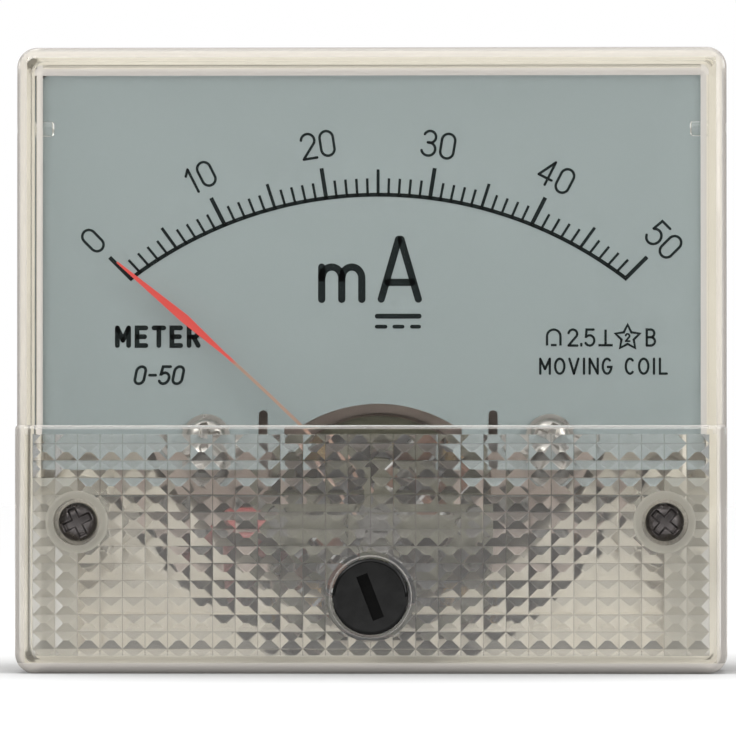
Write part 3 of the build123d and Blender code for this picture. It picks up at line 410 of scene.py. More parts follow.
def new_group(name, inputs, outputs):
    """Empty shader node group with named sockets; returns the group and its two end nodes."""
    group = bpy.data.node_groups.new(name, "ShaderNodeTree")
    for side, labels in (("INPUT", inputs), ("OUTPUT", outputs)):
        for label in labels:
            kind = label if label in ("Vector", "Color") else "Float"
            group.interface.new_socket(label, in_out=side, socket_type=f"NodeSocket{kind}")
    return group, group.nodes.new("NodeGroupInput"), group.nodes.new("NodeGroupOutput")


def set_inputs(node, **values):
    """Sets or links a node's inputs by name, a low line for each space, or by number after a low line."""
    for label, value in values.items():
        socket = node.inputs[int(label[1:]) if label[0] == "_" else label.replace("_", " ")]
        if isinstance(value, bpy.types.NodeSocket):
            node.id_data.links.new(value, socket)
        else:
            socket.default_value = value


def add_node(tree, kind, options=None, **sockets):
    """Adds a shader node, sets its options, and sets or links its inputs."""
    made = tree.nodes.new(f"ShaderNode{kind}")
    for key, value in (options or {}).items():
        setattr(made, key, value)
    set_inputs(made, **sockets)
    return made


def work_out(tree, operation, *values, kind="Math", result=0, **options):
    """Result of a math operation on numbers, vectors or sockets."""
    sockets = {f"_{place}": value for place, value in enumerate(values)}
    return add_node(tree, kind, {"operation": operation, **options}, **sockets).outputs[result]


def remap(tree, value, to_min, to_max, from_min=0.0, from_max=1.0):
    """Value carried from one range to another and held at its ends."""
    ranges = {"From_Min": from_min, "From_Max": from_max, "To_Min": to_min, "To_Max": to_max}
    return add_node(tree, "MapRange", Value=value, **ranges).outputs[0]


def speckle_group():
    """Mottled colour and fine grain of a moulded or painted surface, from two noises of different scale."""
    inputs = ("Vector", "Color", "Mottle", "Mottle Scale", "Grain Scale", "Roughness")
    group, start, end = new_group("surface_speckle", inputs, ("Color", "Roughness", "Height"))
    source = start.outputs
    noise = "TexNoise"
    broad = add_node(group, noise, Vector=source["Vector"], Scale=source["Mottle Scale"], Detail=3.0)
    fine = add_node(group, noise, Vector=source["Vector"], Scale=source["Grain Scale"], Detail=2.0)
    centred = work_out(group, "SUBTRACT", broad.outputs["Fac"], 0.5)
    lift = work_out(group, "MULTIPLY", centred, source["Mottle"])
    value = work_out(group, "ADD", lift, 1.0)
    tone = add_node(group, "HueSaturation", Color=source["Color"], Value=value)
    doubled = work_out(group, "MULTIPLY", lift, 2.0)
    rough = work_out(group, "ADD", doubled, source["Roughness"], use_clamp=True)
    set_inputs(end, Color=tone.outputs["Color"], Roughness=rough, Height=fine.outputs["Fac"])
    return group


def turning_group():
    """Fine rings about a piece's Y axis, as a lathe leaves them, broken up by a little noise."""
    group, start, end = new_group("turning_marks", ("Vector", "Ring Scale"), ("Height",))
    source = {"Vector": start.outputs["Vector"], "Scale": start.outputs["Ring Scale"]}
    form = {"wave_type": "RINGS", "rings_direction": "Y"}
    rings = add_node(group, "TexWave", form, **source, Distortion=1.5, Detail=2.0)
    set_inputs(end, Height=rings.outputs["Fac"])
    return group


def shared_group(name):
    """A node group by name, built the first time it is asked for."""
    builders = {"surface_speckle": speckle_group, "turning_marks": turning_group}
    return bpy.data.node_groups.get(name) or builders[name]()


def start_material(name):
    """New material with its tree, its Principled shader and Object coordinates."""
    material = bpy.data.materials.new(name)
    material.use_nodes = True
    tree = material.node_tree
    coordinates = add_node(tree, "TexCoord").outputs["Object"]
    return material, tree, tree.nodes["Principled BSDF"], coordinates


def with_alpha(colour):
    """A colour as four numbers."""
    return (*tuple(colour)[:3], 1.0)


def raise_grain(shader, height, depth):
    """Feeds a height through a bump of the given depth in millimetres to the shader's normal."""
    bump = add_node(shader.id_data, "Bump", Height=height, Distance=depth * MM, Strength=1.0)
    set_inputs(shader, Normal=bump.outputs["Normal"])


def mottled(name, colour, roughness, mottle, mottle_scale, grain_scale):
    """New material with the shared speckle on its colour and roughness; returns also the grain's height."""
    material, tree, shader, coordinates = start_material(name)
    group = {"node_tree": shared_group("surface_speckle")}
    looks = {"Color": with_alpha(colour), "Roughness": roughness, "Mottle": mottle}
    scales = {"Mottle_Scale": mottle_scale, "Grain_Scale": grain_scale}
    speckle = add_node(tree, "Group", group, Vector=coordinates, **looks, **scales)
    set_inputs(shader, Base_Color=speckle.outputs["Color"], Roughness=speckle.outputs["Roughness"])
    return material, tree, shader, coordinates, speckle.outputs["Height"]


def speckled(
    name, colour, roughness, metallic=0.0, mottle=0.06, grain=0.004, mottle_scale=300.0, grain_scale=5000.0
):
    """Moulded, painted or plated finish: mottled colour and roughness, and a fine grain of a height in mm."""
    material, tree, shader, _, height = mottled(name, colour, roughness, mottle, mottle_scale, grain_scale)
    raise_grain(shader, height, grain)
    set_inputs(shader, Metallic=metallic)
    return material


TURNING_DEPTH = 0.003
METAL_MOTTLE_SCALE = 500.0
METAL_GRAIN_SCALE = 3000.0


def turned_metal(name, colour, roughness, ring_scale=1500.0, centre=(0.0, 0.0, 0.0), mottle=0.12):
    """Lathe-turned or drawn metal: speckled tone with fine rings about an axis along Y."""
    scales = (METAL_MOTTLE_SCALE, METAL_GRAIN_SCALE)
    material, tree, shader, coordinates, _ = mottled(name, colour, roughness, mottle, *scales)
    placed = add_node(tree, "Mapping", Vector=coordinates, Location=tuple(-c for c in centre))
    group = {"node_tree": shared_group("turning_marks")}
    rings = add_node(tree, "Group", group, Vector=placed.outputs[0], Ring_Scale=ring_scale)
    raise_grain(shader, rings.outputs["Height"], TURNING_DEPTH)
    set_inputs(shader, Metallic=1.0)
    return material


# sizes of the cover's moulded details
BAND_THICK = 1.4 * MM
BAND_TOP = -3.4 * MM
STEP_WALL = 0.8 * MM
WINDOW_FACE = -13.4 * MM
WINDOW_BACK = -12.0 * MM
PIT_DEPTH = 0.37 * MM
PIT_ACROSS = 2.0267 * MM
PIT_DOWN = 1.537 * MM
PIT_FIRST_LINE = -5.05 * MM
PIT_LINE = 0.045 * MM
SIDE_TOP = -8.124 * MM
SIDE_PITS = 26.35 * MM
TOP_LINE = (-0.30 * MM, 0.34 * MM)
SIDE_LINE = (-0.44 * MM, 0.09 * MM)
RIM_START = 0.95 * MM
SCREW_HOLE = 1.78 * MM
# the rings round the screws and the knob take a painted highlight, the screws' pocket walls painted shade
SCREW_RING = (SCREW_HOLE, 2.1 * MM)
SCREW_WALL = (2.1 * MM, 2.8 * MM)
KNOB_RING = (3.60 * MM, 3.72 * MM)
KNOB_SLOT = (0.06 * MM, 1.2 * MM)
KNOB_SLOT_REACH = 3.2 * MM
MARGIN = 0.02 * MM
NEAR = 0.1 * MM

# how milky each detail is, how much painted light or painted shade it takes, and in which colours
PIT_HAZE = 0.10
# painted highlight along the step's line
STEP_PAINTED_HIGHLIGHT = 0.3
# painted highlight rings round the screws and the knob
RING_PAINTED_HIGHLIGHT = 0.26
# painted light over the dark gap round the dial
BORDER_PAINTED_LIGHT = 0.75
# painted light that lightens the shaded outer rim and, more strongly, the foot
RIM_PAINTED_LIGHT = 0.45
FOOT_PAINTED_LIGHT = 0.85
# painted shade on the lines between the pits and on their upper flanks
LINE_PAINTED_SHADE = 0.30
FLANK_PAINTED_SHADE = 0.20
# painted shade on the screws' pocket walls and on the lower pits at the sides
POCKET_PAINTED_SHADE = 0.65
SIDE_PITS_PAINTED_SHADE = 0.60
# pale tone of the milky pits and the painted light, dark tone of the painted shade, beige of the painted wall
# shade
MILKY_AND_PAINTED_LIGHT_TONE = (0.62, 0.585, 0.55)
PAINTED_SHADE_TONE = (0.02, 0.019, 0.017)
PAINTED_WALL_SHADE_TONE = (0.33, 0.315, 0.27)
SHADOW_TONE = (0.94, 0.94, 0.93)
CLEAR_ROUGHNESS = 0.02
PIT_ROUGHNESS = 0.08


def between(tree, value, low, high):
    """Mask that is one where a value lies between two limits."""
    half = (high - low) / 2
    return work_out(tree, "COMPARE", value, low + half, half)


def join_masks(tree, operation, *masks):
    """Masks or numbers joined by one operation, two at a time."""
    result = masks[0]
    for mask in masks[1:]:
        result = work_out(tree, operation, result, mask)
    return result


def share_of(tree, share, *masks):
    """The highest of some masks, times a share."""
    return work_out(tree, "MULTIPLY", join_masks(tree, "MAXIMUM", *masks), share)


def from_y_axis(tree, coordinates, x, z):
    """Distance from an axis along Y."""
    flat = work_out(tree, "MULTIPLY", coordinates, (1.0, 0.0, 1.0), kind="VectorMath")
    return work_out(tree, "DISTANCE", flat, (x, 0.0, z), kind="VectorMath", result="Value")


def near_lines(tree, value, first, pitch, half_wide):
    """Mask of evenly spaced lines: one where the distance to the nearest line is under a half width."""
    moved = work_out(tree, "SUBTRACT", value, first)
    return work_out(tree, "LESS_THAN", work_out(tree, "PINGPONG", moved, pitch / 2), half_wide)


def upper_flanks(tree, place):
    """Mask of each pit's upper flank, which takes painted shade, where the height is more than the distance
    across.

    The height runs from minus one to one up each pit, the distance from nought at its middle to one.
    """
    moved = work_out(tree, "SUBTRACT", place["Z"], PIT_FIRST_LINE)
    wrapped = work_out(tree, "WRAP", moved, PIT_DOWN, 0.0)
    height = remap(tree, wrapped, -1.0, 1.0, from_max=PIT_DOWN)
    to_line = work_out(tree, "PINGPONG", place["X"], PIT_ACROSS / 2)
    across = remap(tree, to_line, 1.0, 0.0, from_max=PIT_ACROSS / 2)
    return work_out(tree, "GREATER_THAN", height, across)


def milky_and_painted_light_share(tree, place, out, pits, rings):
    """Pale share of the cover: milky pits, and painted light on the step, rings, line round the window and
    outer rim.
    """
    step_front = between(tree, place["Y"], COVER_LOW.y, WINDOW_FACE)
    step_level = between(tree, place["Z"], BAND_TOP - STEP_WALL, BAND_TOP + MARGIN / 2)
    top_line = between(tree, place["Z"], DIAL_HIGH.z + TOP_LINE[0], DIAL_HIGH.z + TOP_LINE[1])
    side_line = between(tree, out, DIAL_HIGH.x + SIDE_LINE[0], DIAL_HIGH.x + SIDE_LINE[1])
    window_back = between(tree, place["Y"], WINDOW_BACK - NEAR, WINDOW_BACK + NEAR)
    corner = join_masks(tree, "MAXIMUM", top_line, side_line)
    rim_side = between(tree, out, COVER_HIGH.x - RIM_START, COVER_HIGH.x)
    rim_top = between(tree, place["Z"], COVER_HIGH.z - RIM_START, COVER_HIGH.z)
    rim_foot = between(tree, place["Z"], COVER_LOW.z, COVER_LOW.z + RIM_START)
    return join_masks(
        tree,
        "MAXIMUM",
        # painted light over the dark gap round the dial
        join_masks(tree, "MULTIPLY", window_back, corner, BORDER_PAINTED_LIGHT),
        # painted highlight along the step's line
        join_masks(tree, "MULTIPLY", step_front, step_level, STEP_PAINTED_HIGHLIGHT),
        # painted light that lightens the shaded outer rim and foot
        share_of(tree, RIM_PAINTED_LIGHT, rim_side, rim_top),
        share_of(tree, FOOT_PAINTED_LIGHT, rim_foot),
        share_of(tree, PIT_HAZE, pits),
        # painted highlight rings round the screws and the knob
        share_of(tree, RING_PAINTED_HIGHLIGHT, *rings),
    )


def painted_shade_share(tree, place, pits):
    """Share of the cover with painted shade: dark fine lines between the pits, and more faintly their upper
    flanks.
    """
    rows = near_lines(tree, place["Z"], PIT_FIRST_LINE, PIT_DOWN, PIT_LINE)
    columns = near_lines(tree, place["X"], 0.0, PIT_ACROSS, PIT_LINE)
    lines = share_of(tree, LINE_PAINTED_SHADE, rows, columns)
    flanks = share_of(tree, FLANK_PAINTED_SHADE, upper_flanks(tree, place))
    return work_out(tree, "MULTIPLY", pits, work_out(tree, "MAXIMUM", lines, flanks))


def painted_wall_shade_share(tree, place, out, pits, walls):
    """Share of the cover with painted shade in the base's hue: the screws' pockets and the lower pits at the
    sides.
    """
    side_columns = between(tree, out, SIDE_PITS, COVER_HIGH.x)
    low_rows = between(tree, place["Z"], COVER_LOW.z, SIDE_TOP)
    side_pits = join_masks(tree, "MULTIPLY", pits, side_columns, low_rows, SIDE_PITS_PAINTED_SHADE)
    return join_masks(tree, "MAXIMUM", share_of(tree, POCKET_PAINTED_SHADE, *walls), side_pits)


def overlay(tree, share, body, colour):
    """Shader with a matt colour laid over it by a share."""
    matt = add_node(tree, "BsdfDiffuse", Color=with_alpha(colour))
    return add_node(tree, "MixShader", _0=share, _1=body, _2=matt.outputs[0]).outputs[0]


def clear_plastic():
    """Clear moulded plastic with faint flow ripples and matt pits, and three matt colours laid over it.

    The pale one gives the milky pits and painted light, the dark one and the beige one painted shade. Their
    shares are masks worked out from the place. Light for shadows passes straight through.
    """
    material, tree, shader, coordinates = start_material("clear_cover_plastic")
    place = add_node(tree, "SeparateXYZ", Vector=coordinates).outputs
    out = work_out(tree, "ABSOLUTE", place["X"])
    inner_face = COVER_LOW.y + BAND_THICK
    pits = between(tree, place["Y"], inner_face - PIT_DEPTH - MARGIN, inner_face + MARGIN)
    screw_low, screw_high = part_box("cover_screws")
    screw_x, screw_z = screw_high.x - SCREW_HOLE, (screw_low.z + screw_high.z) / 2
    from_screws = [from_y_axis(tree, coordinates, side * screw_x, screw_z) for side in (-1, 1)]
    from_knob = from_y_axis(tree, coordinates, 0.0, KNOB_MIDDLE)
    # rings round the screws and the knob that take a painted highlight
    rings = [between(tree, distance, *SCREW_RING) for distance in from_screws]
    rings.append(between(tree, from_knob, *KNOB_RING))
    # pocket walls round the screws that take painted shade
    walls = [between(tree, distance, *SCREW_WALL) for distance in from_screws]
    ripples = add_node(tree, "TexNoise", Vector=coordinates, Scale=160.0, Detail=1.0)
    raise_grain(shader, ripples.outputs["Fac"], depth=0.002)
    tint = with_alpha(settings("meter_finish").clear)
    roughness = remap(tree, pits, CLEAR_ROUGHNESS, PIT_ROUGHNESS)
    set_inputs(shader, Base_Color=tint, Roughness=roughness, IOR=1.50, Transmission_Weight=1.0)
    # pale colour: milky pits, painted light and painted highlights
    body = overlay(tree, milky_and_painted_light_share(tree, place, out, pits, rings), shader.outputs[0], MILKY_AND_PAINTED_LIGHT_TONE)
    # dark colour: painted shade on the lines between the pits and on their upper flanks
    body = overlay(tree, painted_shade_share(tree, place, pits), body, PAINTED_SHADE_TONE)
    # beige colour: painted shade on the screws' pocket walls and on the lower side pits
    body = overlay(tree, painted_wall_shade_share(tree, place, out, pits, walls), body, PAINTED_WALL_SHADE_TONE)
    passing = add_node(tree, "BsdfTransparent", Color=with_alpha(SHADOW_TONE))
    for_shadow = add_node(tree, "LightPath").outputs["Is Shadow Ray"]
    mix = add_node(tree, "MixShader", _0=for_shadow, _1=body, _2=passing.outputs[0])
    set_inputs(tree.nodes["Material Output"], Surface=mix.outputs[0])
    return material


# painted shade in the grooves between the turns, then the turns' own tone
WIRE_GROOVE_SHADE_TONES = (0.35, 1.0)
WIRE_GROOVE = 0.06


def wound_wire(name, colour, per_metre):
    """Enamelled copper wire in close turns: bands across the piece's Y axis, with painted shade in the
    grooves.
    """
    material, tree, shader, coordinates = start_material(name)
    form = {"wave_type": "BANDS", "bands_direction": "Y"}
    wave = {"Vector": coordinates, "Scale": per_metre, "Distortion": 0.4, "Detail": 1.0}
    turns = add_node(tree, "TexWave", form, **wave).outputs["Fac"]
    value = remap(tree, turns, *WIRE_GROOVE_SHADE_TONES)
    tone = add_node(tree, "HueSaturation", Color=with_alpha(colour), Value=value)
    raise_grain(shader, turns, depth=WIRE_GROOVE)
    set_inputs(shader, Base_Color=tone.outputs["Color"], Metallic=0.85, Roughness=0.3, Coat_Weight=0.5)
    return material


BLADE_START = 19.4 * MM
BLADE_FADE = 0.8 * MM


def pointer_lacquer():
    """Red lacquer on the blade, paler on the thin tube: the colour changes at a distance from the pivot."""
    finish = settings("meter_finish")
    material, tree, shader, coordinates = start_material("pointer_lacquer")
    distance = from_y_axis(tree, coordinates, PIVOT[0], PIVOT[2])
    share = remap(tree, distance, 0.0, 1.0, from_min=BLADE_START, from_max=BLADE_START + BLADE_FADE)
    stem, blade = with_alpha(finish.stem), with_alpha(finish.blade)
    colour = add_node(tree, "Mix", {"data_type": "RGBA"}, Factor=share, _6=stem, _7=blade)
    noise = add_node(tree, "TexNoise", Vector=coordinates, Scale=2500.0, Detail=2.0)
    raise_grain(shader, noise.outputs["Fac"], depth=0.003)
    set_inputs(shader, Base_Color=colour.outputs[2], Roughness=0.38, Coat_Weight=0.2)
    return material


# gloss of the knob's face, and the much lower gloss in its slot that paints shade there
KNOB_SHINE_AND_SLOT_SHADE = (0.24, 0.06)


def knob_plastic():
    """Glossy black plastic whose slot, the part behind the face and inside the rim, has its gloss cut as
    painted shade.
    """
    colour = settings("meter_finish").knob
    looks = {"roughness": 0.08, "mottle": 0.1, "mottle_scale": 900.0, "grain_scale": 5000.0}
    material, tree, shader, coordinates, height = mottled("knob_plastic", colour, **looks)
    raise_grain(shader, height, depth=0.0003)
    depth = add_node(tree, "SeparateXYZ", Vector=coordinates).outputs["Y"]
    behind = between(tree, depth, KNOB_LOW.y + KNOB_SLOT[0], KNOB_LOW.y + KNOB_SLOT[1])
    from_axis = from_y_axis(tree, coordinates, 0.0, KNOB_MIDDLE)
    inside = work_out(tree, "LESS_THAN", from_axis, KNOB_SLOT_REACH)
    # painted shade: the slot hardly reflects
    slot_shaded_shine = remap(tree, work_out(tree, "MULTIPLY", behind, inside), *KNOB_SHINE_AND_SLOT_SHADE)
    set_inputs(shader, Specular_IOR_Level=slot_shaded_shine)
    return material


def give_finish(material, names):
    """Puts a material in every slot of the CAD nodes named in a text."""
    for name in names.split():
        for slot in frame["nodes"][name].material_slots:
            slot.material = material


class METER_OT_case_finish(bpy.types.Operator):
    """Give the cover, base, knob, dial and case screws their finishes"""

    bl_idname = "meter.case_finish"
    bl_label = "Finish Case"

    def execute(self, context):
        finish = settings("meter_finish")
        give_finish(clear_plastic(), "front_cover")
        give_finish(speckled("base_plastic", finish.base, 0.42, mottle=0.05, grain=0.006), "rear_housing")
        give_finish(knob_plastic(), "zero_adjuster")
        paint = speckled("dial_paint_grey", finish.dial, 0.62, mottle=0.03, grain=0.003, grain_scale=9000.0)
        give_finish(paint, "dial_plate")
        nickel = turned_metal("dull_nickel", (0.46, 0.44, 0.41), 0.3, ring_scale=1200.0)
        give_finish(nickel, "dial_screws dial_washers")
        dark_nickel = turned_metal("dark_nickel", (0.11, 0.10, 0.098), 0.28, ring_scale=1200.0)
        give_finish(dark_nickel, "cover_screws")
        give_finish(turned_metal("spring_steel", (0.42, 0.42, 0.43), 0.3), "adjuster_retainer")
        return {"FINISHED"}


# turned metals about the pointer's pivot: colour, roughness, mottle, nodes
TURNED_FINISHES = {
    "turned_brass": (
        (0.74, 0.52, 0.24),
        0.3,
        0.12,
        "rear_core_holder rear_posts rear_bridge rear_spring_tab",
    ),
    # dark olive on the front brass parts: painted shade, as they lie in shade in the barrel
    "olive_painted_shade": ((0.14, 0.135, 0.10), 0.4, 0.2, "zero_lever front_core_holder front_bridge"),
    "bright_steel": ((0.50, 0.50, 0.51), 0.28, 0.12, "front_staff rear_staff"),
    "dull_steel": (
        (0.15, 0.145, 0.135),
        0.36,
        0.12,
        "bracket_screws bridge_screws front_bearing_screw rear_bearing_screw bearing_nuts "
        "front_posts balance_weights",
    ),
    "soft_iron": ((0.24, 0.19, 0.16), 0.42, 0.3, "yoke_ring"),
    "magnet_alloy": ((0.16, 0.16, 0.165), 0.36, 0.12, "core_magnet"),
}

# speckled plastics and metals: colour, roughness, metallic, mottle, grain, mottle scale, nodes
SPECKLED_FINISHES = {
    "cast_zinc": ((0.48, 0.40, 0.35), 0.46, 1.0, 0.25, 0.01, 300.0, "movement_bracket"),
    "satin_aluminium": ((0.74, 0.74, 0.73), 0.34, 1.0, 0.15, 0.003, 300.0, "coil_former balance_cross"),
    "spring_bronze": ((0.45, 0.31, 0.20), 0.3, 1.0, 0.06, 0.004, 300.0, "front_hairspring rear_hairspring"),
    "bobbin_nylon": ((0.70, 0.67, 0.58), 0.45, 0.0, 0.06, 0.004, 300.0, "shunt_bobbin"),
    # red sleeve, its colour darkened as painted shade deep in the barrel
    "red_sleeve_painted_shade": ((0.22, 0.04, 0.035), 0.45, 0.0, 0.1, 0.004, 300.0, "red_lead"),
    "black_sleeve": ((0.02, 0.02, 0.02), 0.4, 0.0, 0.1, 0.004, 300.0, "black_lead"),
    "bright_tin": ((0.62, 0.62, 0.60), 0.28, 1.0, 0.3, 0.004, 500.0, "terminal_washers solder_lugs"),
    "nut_brass": (
        (0.72, 0.51, 0.24),
        0.28,
        1.0,
        0.2,
        0.004,
        500.0,
        "terminal_inner_nuts terminal_outer_nuts",
    ),
}


class METER_OT_movement_finish(bpy.types.Operator):
    """Give the movement, shunt, leads and terminals their finishes"""

    bl_idname = "meter.movement_finish"
    bl_label = "Finish Movement"

    def execute(self, context):
        for name, (tone, roughness, mottle, nodes) in TURNED_FINISHES.items():
            give_finish(turned_metal(name, tone, roughness, centre=PIVOT, mottle=mottle), nodes)
        for name, (*looks, nodes) in SPECKLED_FINISHES.items():
            give_finish(speckled(name, *looks), nodes)
        give_finish(wound_wire("coil_wire", (0.36, 0.16, 0.09), 2600.0), "coil_winding")
        give_finish(wound_wire("shunt_wire", (0.45, 0.17, 0.08), 700.0), "shunt_winding")
        give_finish(pointer_lacquer(), "pointer")
        return {"FINISHED"}


def ink_material():
    """The dial's ink, made once."""
    found = bpy.data.materials.get("dial_ink")
    if found:
        return found
    made = speckled("dial_ink", settings("meter_print").ink, 0.6, mottle=0.2, grain=0.002, grain_scale=9000.0)
    set_inputs(made.node_tree.nodes["Principled BSDF"], Specular_IOR_Level=0.15)
    return made


def add_print(name, parts):
    """Makes one piece of print out of its ribbons."""
    add_piece(name, *join_meshes(parts), ink_material(), "case", "black_plastic")


def base_line_distance(angle):
    """Distance from the pivot to the scale's base line along a direction, from the circle's equation."""
    marks = settings("meter_print")
    drop = marks.arc_drop
    return -drop * math.cos(angle) + math.sqrt(marks.arc_radius**2 - (drop * math.sin(angle)) ** 2)


def from_pivot(angle, distance):
    """Point of the dial at an angle clockwise from straight up and a distance, as seen from the pivot."""
    return PIVOT[0] + distance * math.sin(angle), PIVOT[2] + distance * math.cos(angle)


class METER_OT_scale(bpy.types.Operator):
    """Print the scale's base line and its marks on the dial"""

    bl_idname = "meter.scale"
    bl_label = "Print Scale"

    def execute(self, context):
        marks = settings("meter_print")
        end = math.radians(SCALE_END_ANGLE)
        turns = np.linspace(-end, end, ARC_STEPS)
        line_points = np.array([from_pivot(a, base_line_distance(a)) for a in turns])
        parts = [printed(line_points, marks.arc_line)]
        for unit in range(SCALE_DIVISIONS + 1):
            kind = "major" if unit % 10 == 0 else "middle" if unit % 5 == 0 else "minor"
            long, wide = getattr(marks, f"{kind}_long"), getattr(marks, f"{kind}_line")
            angle = end * (2 * unit / SCALE_DIVISIONS - 1)
            foot = base_line_distance(angle) - marks.arc_line / 2
            tick = [from_pivot(angle, foot), from_pivot(angle, foot + marks.arc_line / 2 + long)]
            parts.append(printed(tick, wide))
        add_print("scale_print", parts)
        return {"FINISHED"}


class METER_OT_figures(bpy.types.Operator):
    """Print the figures along the scale"""

    bl_idname = "meter.figures"
    bl_label = "Print Figures"

    def execute(self, context):
        marks = settings("meter_print")
        parts = []
        for number, text in enumerate(NUMBER_TEXTS):
            turn = SCALE_END_ANGLE * (2 * number / (len(NUMBER_TEXTS) - 1) - 1)
            angle = math.radians(turn)
            x, z = from_pivot(angle, base_line_distance(angle) + marks.number_out)
            parts += lettering(text, x, z, marks.number_high, marks.number_line, gap=0.22, turn=turn)
        add_print("scale_figures", parts)
        return {"FINISHED"}


# places on the dial, in millimetres from the dial's middle line and from the barrel's axis
UNIT_LETTERS = {"m": (-2.85, 9.55, 3.6), "A": (2.42, 10.82, 6.1)}
UNIT_STROKE = 0.66
DIRECT_BAR = (0.15, 4.4)
DIRECT_BAR_LEVEL = 6.55
DIRECT_BAR_STROKE = 0.45
DIRECT_DASHES = ((0.15, 1.3), (1.75, 2.85), (3.35, 4.35))
DIRECT_DASH_LEVEL = 5.6
DIRECT_DASH_STROKE = 0.35
SIGN_LEVEL = 4.6
SIGN_HIGH = 1.45
SIGN_STROKE = 0.22
MOVEMENT_SIGN = 16.4
UPRIGHT_SIGN = 21.1
STAR_SIGN = 23.1
STAR_REACH = (0.80, 0.40)

# text, place, height and stroke in millimetres, then gap and slant as shares of the height
SIGN_WORDS = (
    ("2.5", (18.9, SIGN_LEVEL), SIGN_HIGH, SIGN_STROKE, 0.2, 0.0),
    ("2", (STAR_SIGN, SIGN_LEVEL), 0.45 * SIGN_HIGH, 0.17, 0.2, 0.0),
    ("B", (25.2, SIGN_LEVEL), SIGN_HIGH, SIGN_STROKE, 0.2, 0.0),
    ("METER", (-19.6, 4.7), 1.6, 0.44, 0.44, 0.0),
    ("MOVING COIL", (20.9, 2.0), 1.35, SIGN_STROKE, 0.34, 0.0),
    ("0-50", (-19.6, 1.2), 1.55, 0.26, 0.25, 0.2),
)


def print_bar(low, high, level, wide):
    """Straight printed bar with round ends between two places, in millimetres."""
    path = np.array([(low + wide / 2, level), (high - wide / 2, level)]) * MM
    return printed(path, wide * MM, rounded=True)


class METER_OT_unit(bpy.types.Operator):
    """Print the unit and the sign for direct current"""

    bl_idname = "meter.unit"
    bl_label = "Print Unit"

    def execute(self, context):
        parts = []
        for letter, (x, z, high) in UNIT_LETTERS.items():
            parts += lettering(letter, x * MM, z * MM, (high - UNIT_STROKE) * MM, UNIT_STROKE * MM)
        parts.append(print_bar(*DIRECT_BAR, DIRECT_BAR_LEVEL, DIRECT_BAR_STROKE))
        parts += [print_bar(*dash, DIRECT_DASH_LEVEL, DIRECT_DASH_STROKE) for dash in DIRECT_DASHES]
        add_print("unit_print", parts)
        return {"FINISHED"}


def sign_stroke(points, x, closed=False):
    """Ribbon of one sign's stroke, given in sign heights about its own middle."""
    placed = np.asarray(points, float) * SIGN_HIGH * MM + np.array([x * MM, SIGN_LEVEL * MM])
    return printed(placed, SIGN_STROKE * MM, closed=closed)


class METER_OT_signs(bpy.types.Operator):
    """Print the usual signs for the movement, class, position, test voltage and use, and plain lettering"""

    bl_idname = "meter.signs"
    bl_label = "Print Signs"

    def execute(self, context):
        horseshoe = run(line(-0.42, -0.5), bow(0.0, 0.08, 0.42, 0.42, 180, 0), line(0.42, -0.5))
        tips = np.arange(10)
        angle = np.radians(90 + 36 * tips)
        reach = np.where(tips % 2 == 0, *STAR_REACH)
        star = np.stack([reach * np.cos(angle), reach * np.sin(angle)], axis=1)
        parts = [
            sign_stroke(horseshoe, MOVEMENT_SIGN),
            sign_stroke([(-0.18, -0.47), (0.18, -0.47)], MOVEMENT_SIGN),
            sign_stroke([(0.0, -0.48), (0.0, 0.5)], UPRIGHT_SIGN),
            sign_stroke([(-0.45, -0.48), (0.45, -0.48)], UPRIGHT_SIGN),
            sign_stroke(star, STAR_SIGN, closed=True),
        ]
        for text, (x, z), high, stroke, gap, slant in SIGN_WORDS:
            parts += lettering(text, x * MM, z * MM, high * MM, stroke * MM, gap=gap, slant=slant)
        add_print("sign_print", parts)
        return {"FINISHED"}


# outlines of the studs and terminals as (distance, radius) in millimetres, and where their threads start
STUD_HEAD_R = 2.6 * MM
STUD_STATIONS = ((0.0, 2.6), (1.2, 2.6), (1.201, 1.9), (1.95, 1.9), (1.951, 1.5))
STUD_CHAMFER = 0.375 * MM
STUD_THREAD_START = 1.0 * MM
TERMINAL_HEAD_R = 3.6 * MM
TERMINAL_STATIONS = ((0.0, 3.6), (1.5, 3.6), (1.501, 2.0))
TERMINAL_CHAMFER = 0.5 * MM


def threaded_pair(low, high, head_r, stations, end_chamfer, pitch, thread_from):
    """Left and right threaded rods: the given stations from the head on, then a plain shank to the tip."""
    share = settings("meter_thread").depth_share
    z = (low.z + high.z) / 2
    shank_r = stations[-1][1] * MM
    profile = [(low.y + d * MM, r * MM) for d, r in stations]
    profile += [(high.y - end_chamfer, shank_r), (high.y, shank_r - end_chamfer)]
    return join_meshes(
        [
            turned_rod(x, z, profile, pitch, share * pitch, thread_from, high.y)
            for x in (low.x + head_r, high.x - head_r)
        ]
    )


# head radius, head height and shank radius in millimetres, and the turns of the two recesses in degrees
SCREW_FORMS = {
    "cover_screws": (1.75, 1.5, 1.0, (25, 50)),
    "dial_screws": (1.8, 1.3, 1.0, (10, 65)),
}
RECESS_REACH = 0.80
RECESS_HALF = 0.23
RECESS_SLOPE = 0.07
RECESS_DEEP = 0.34


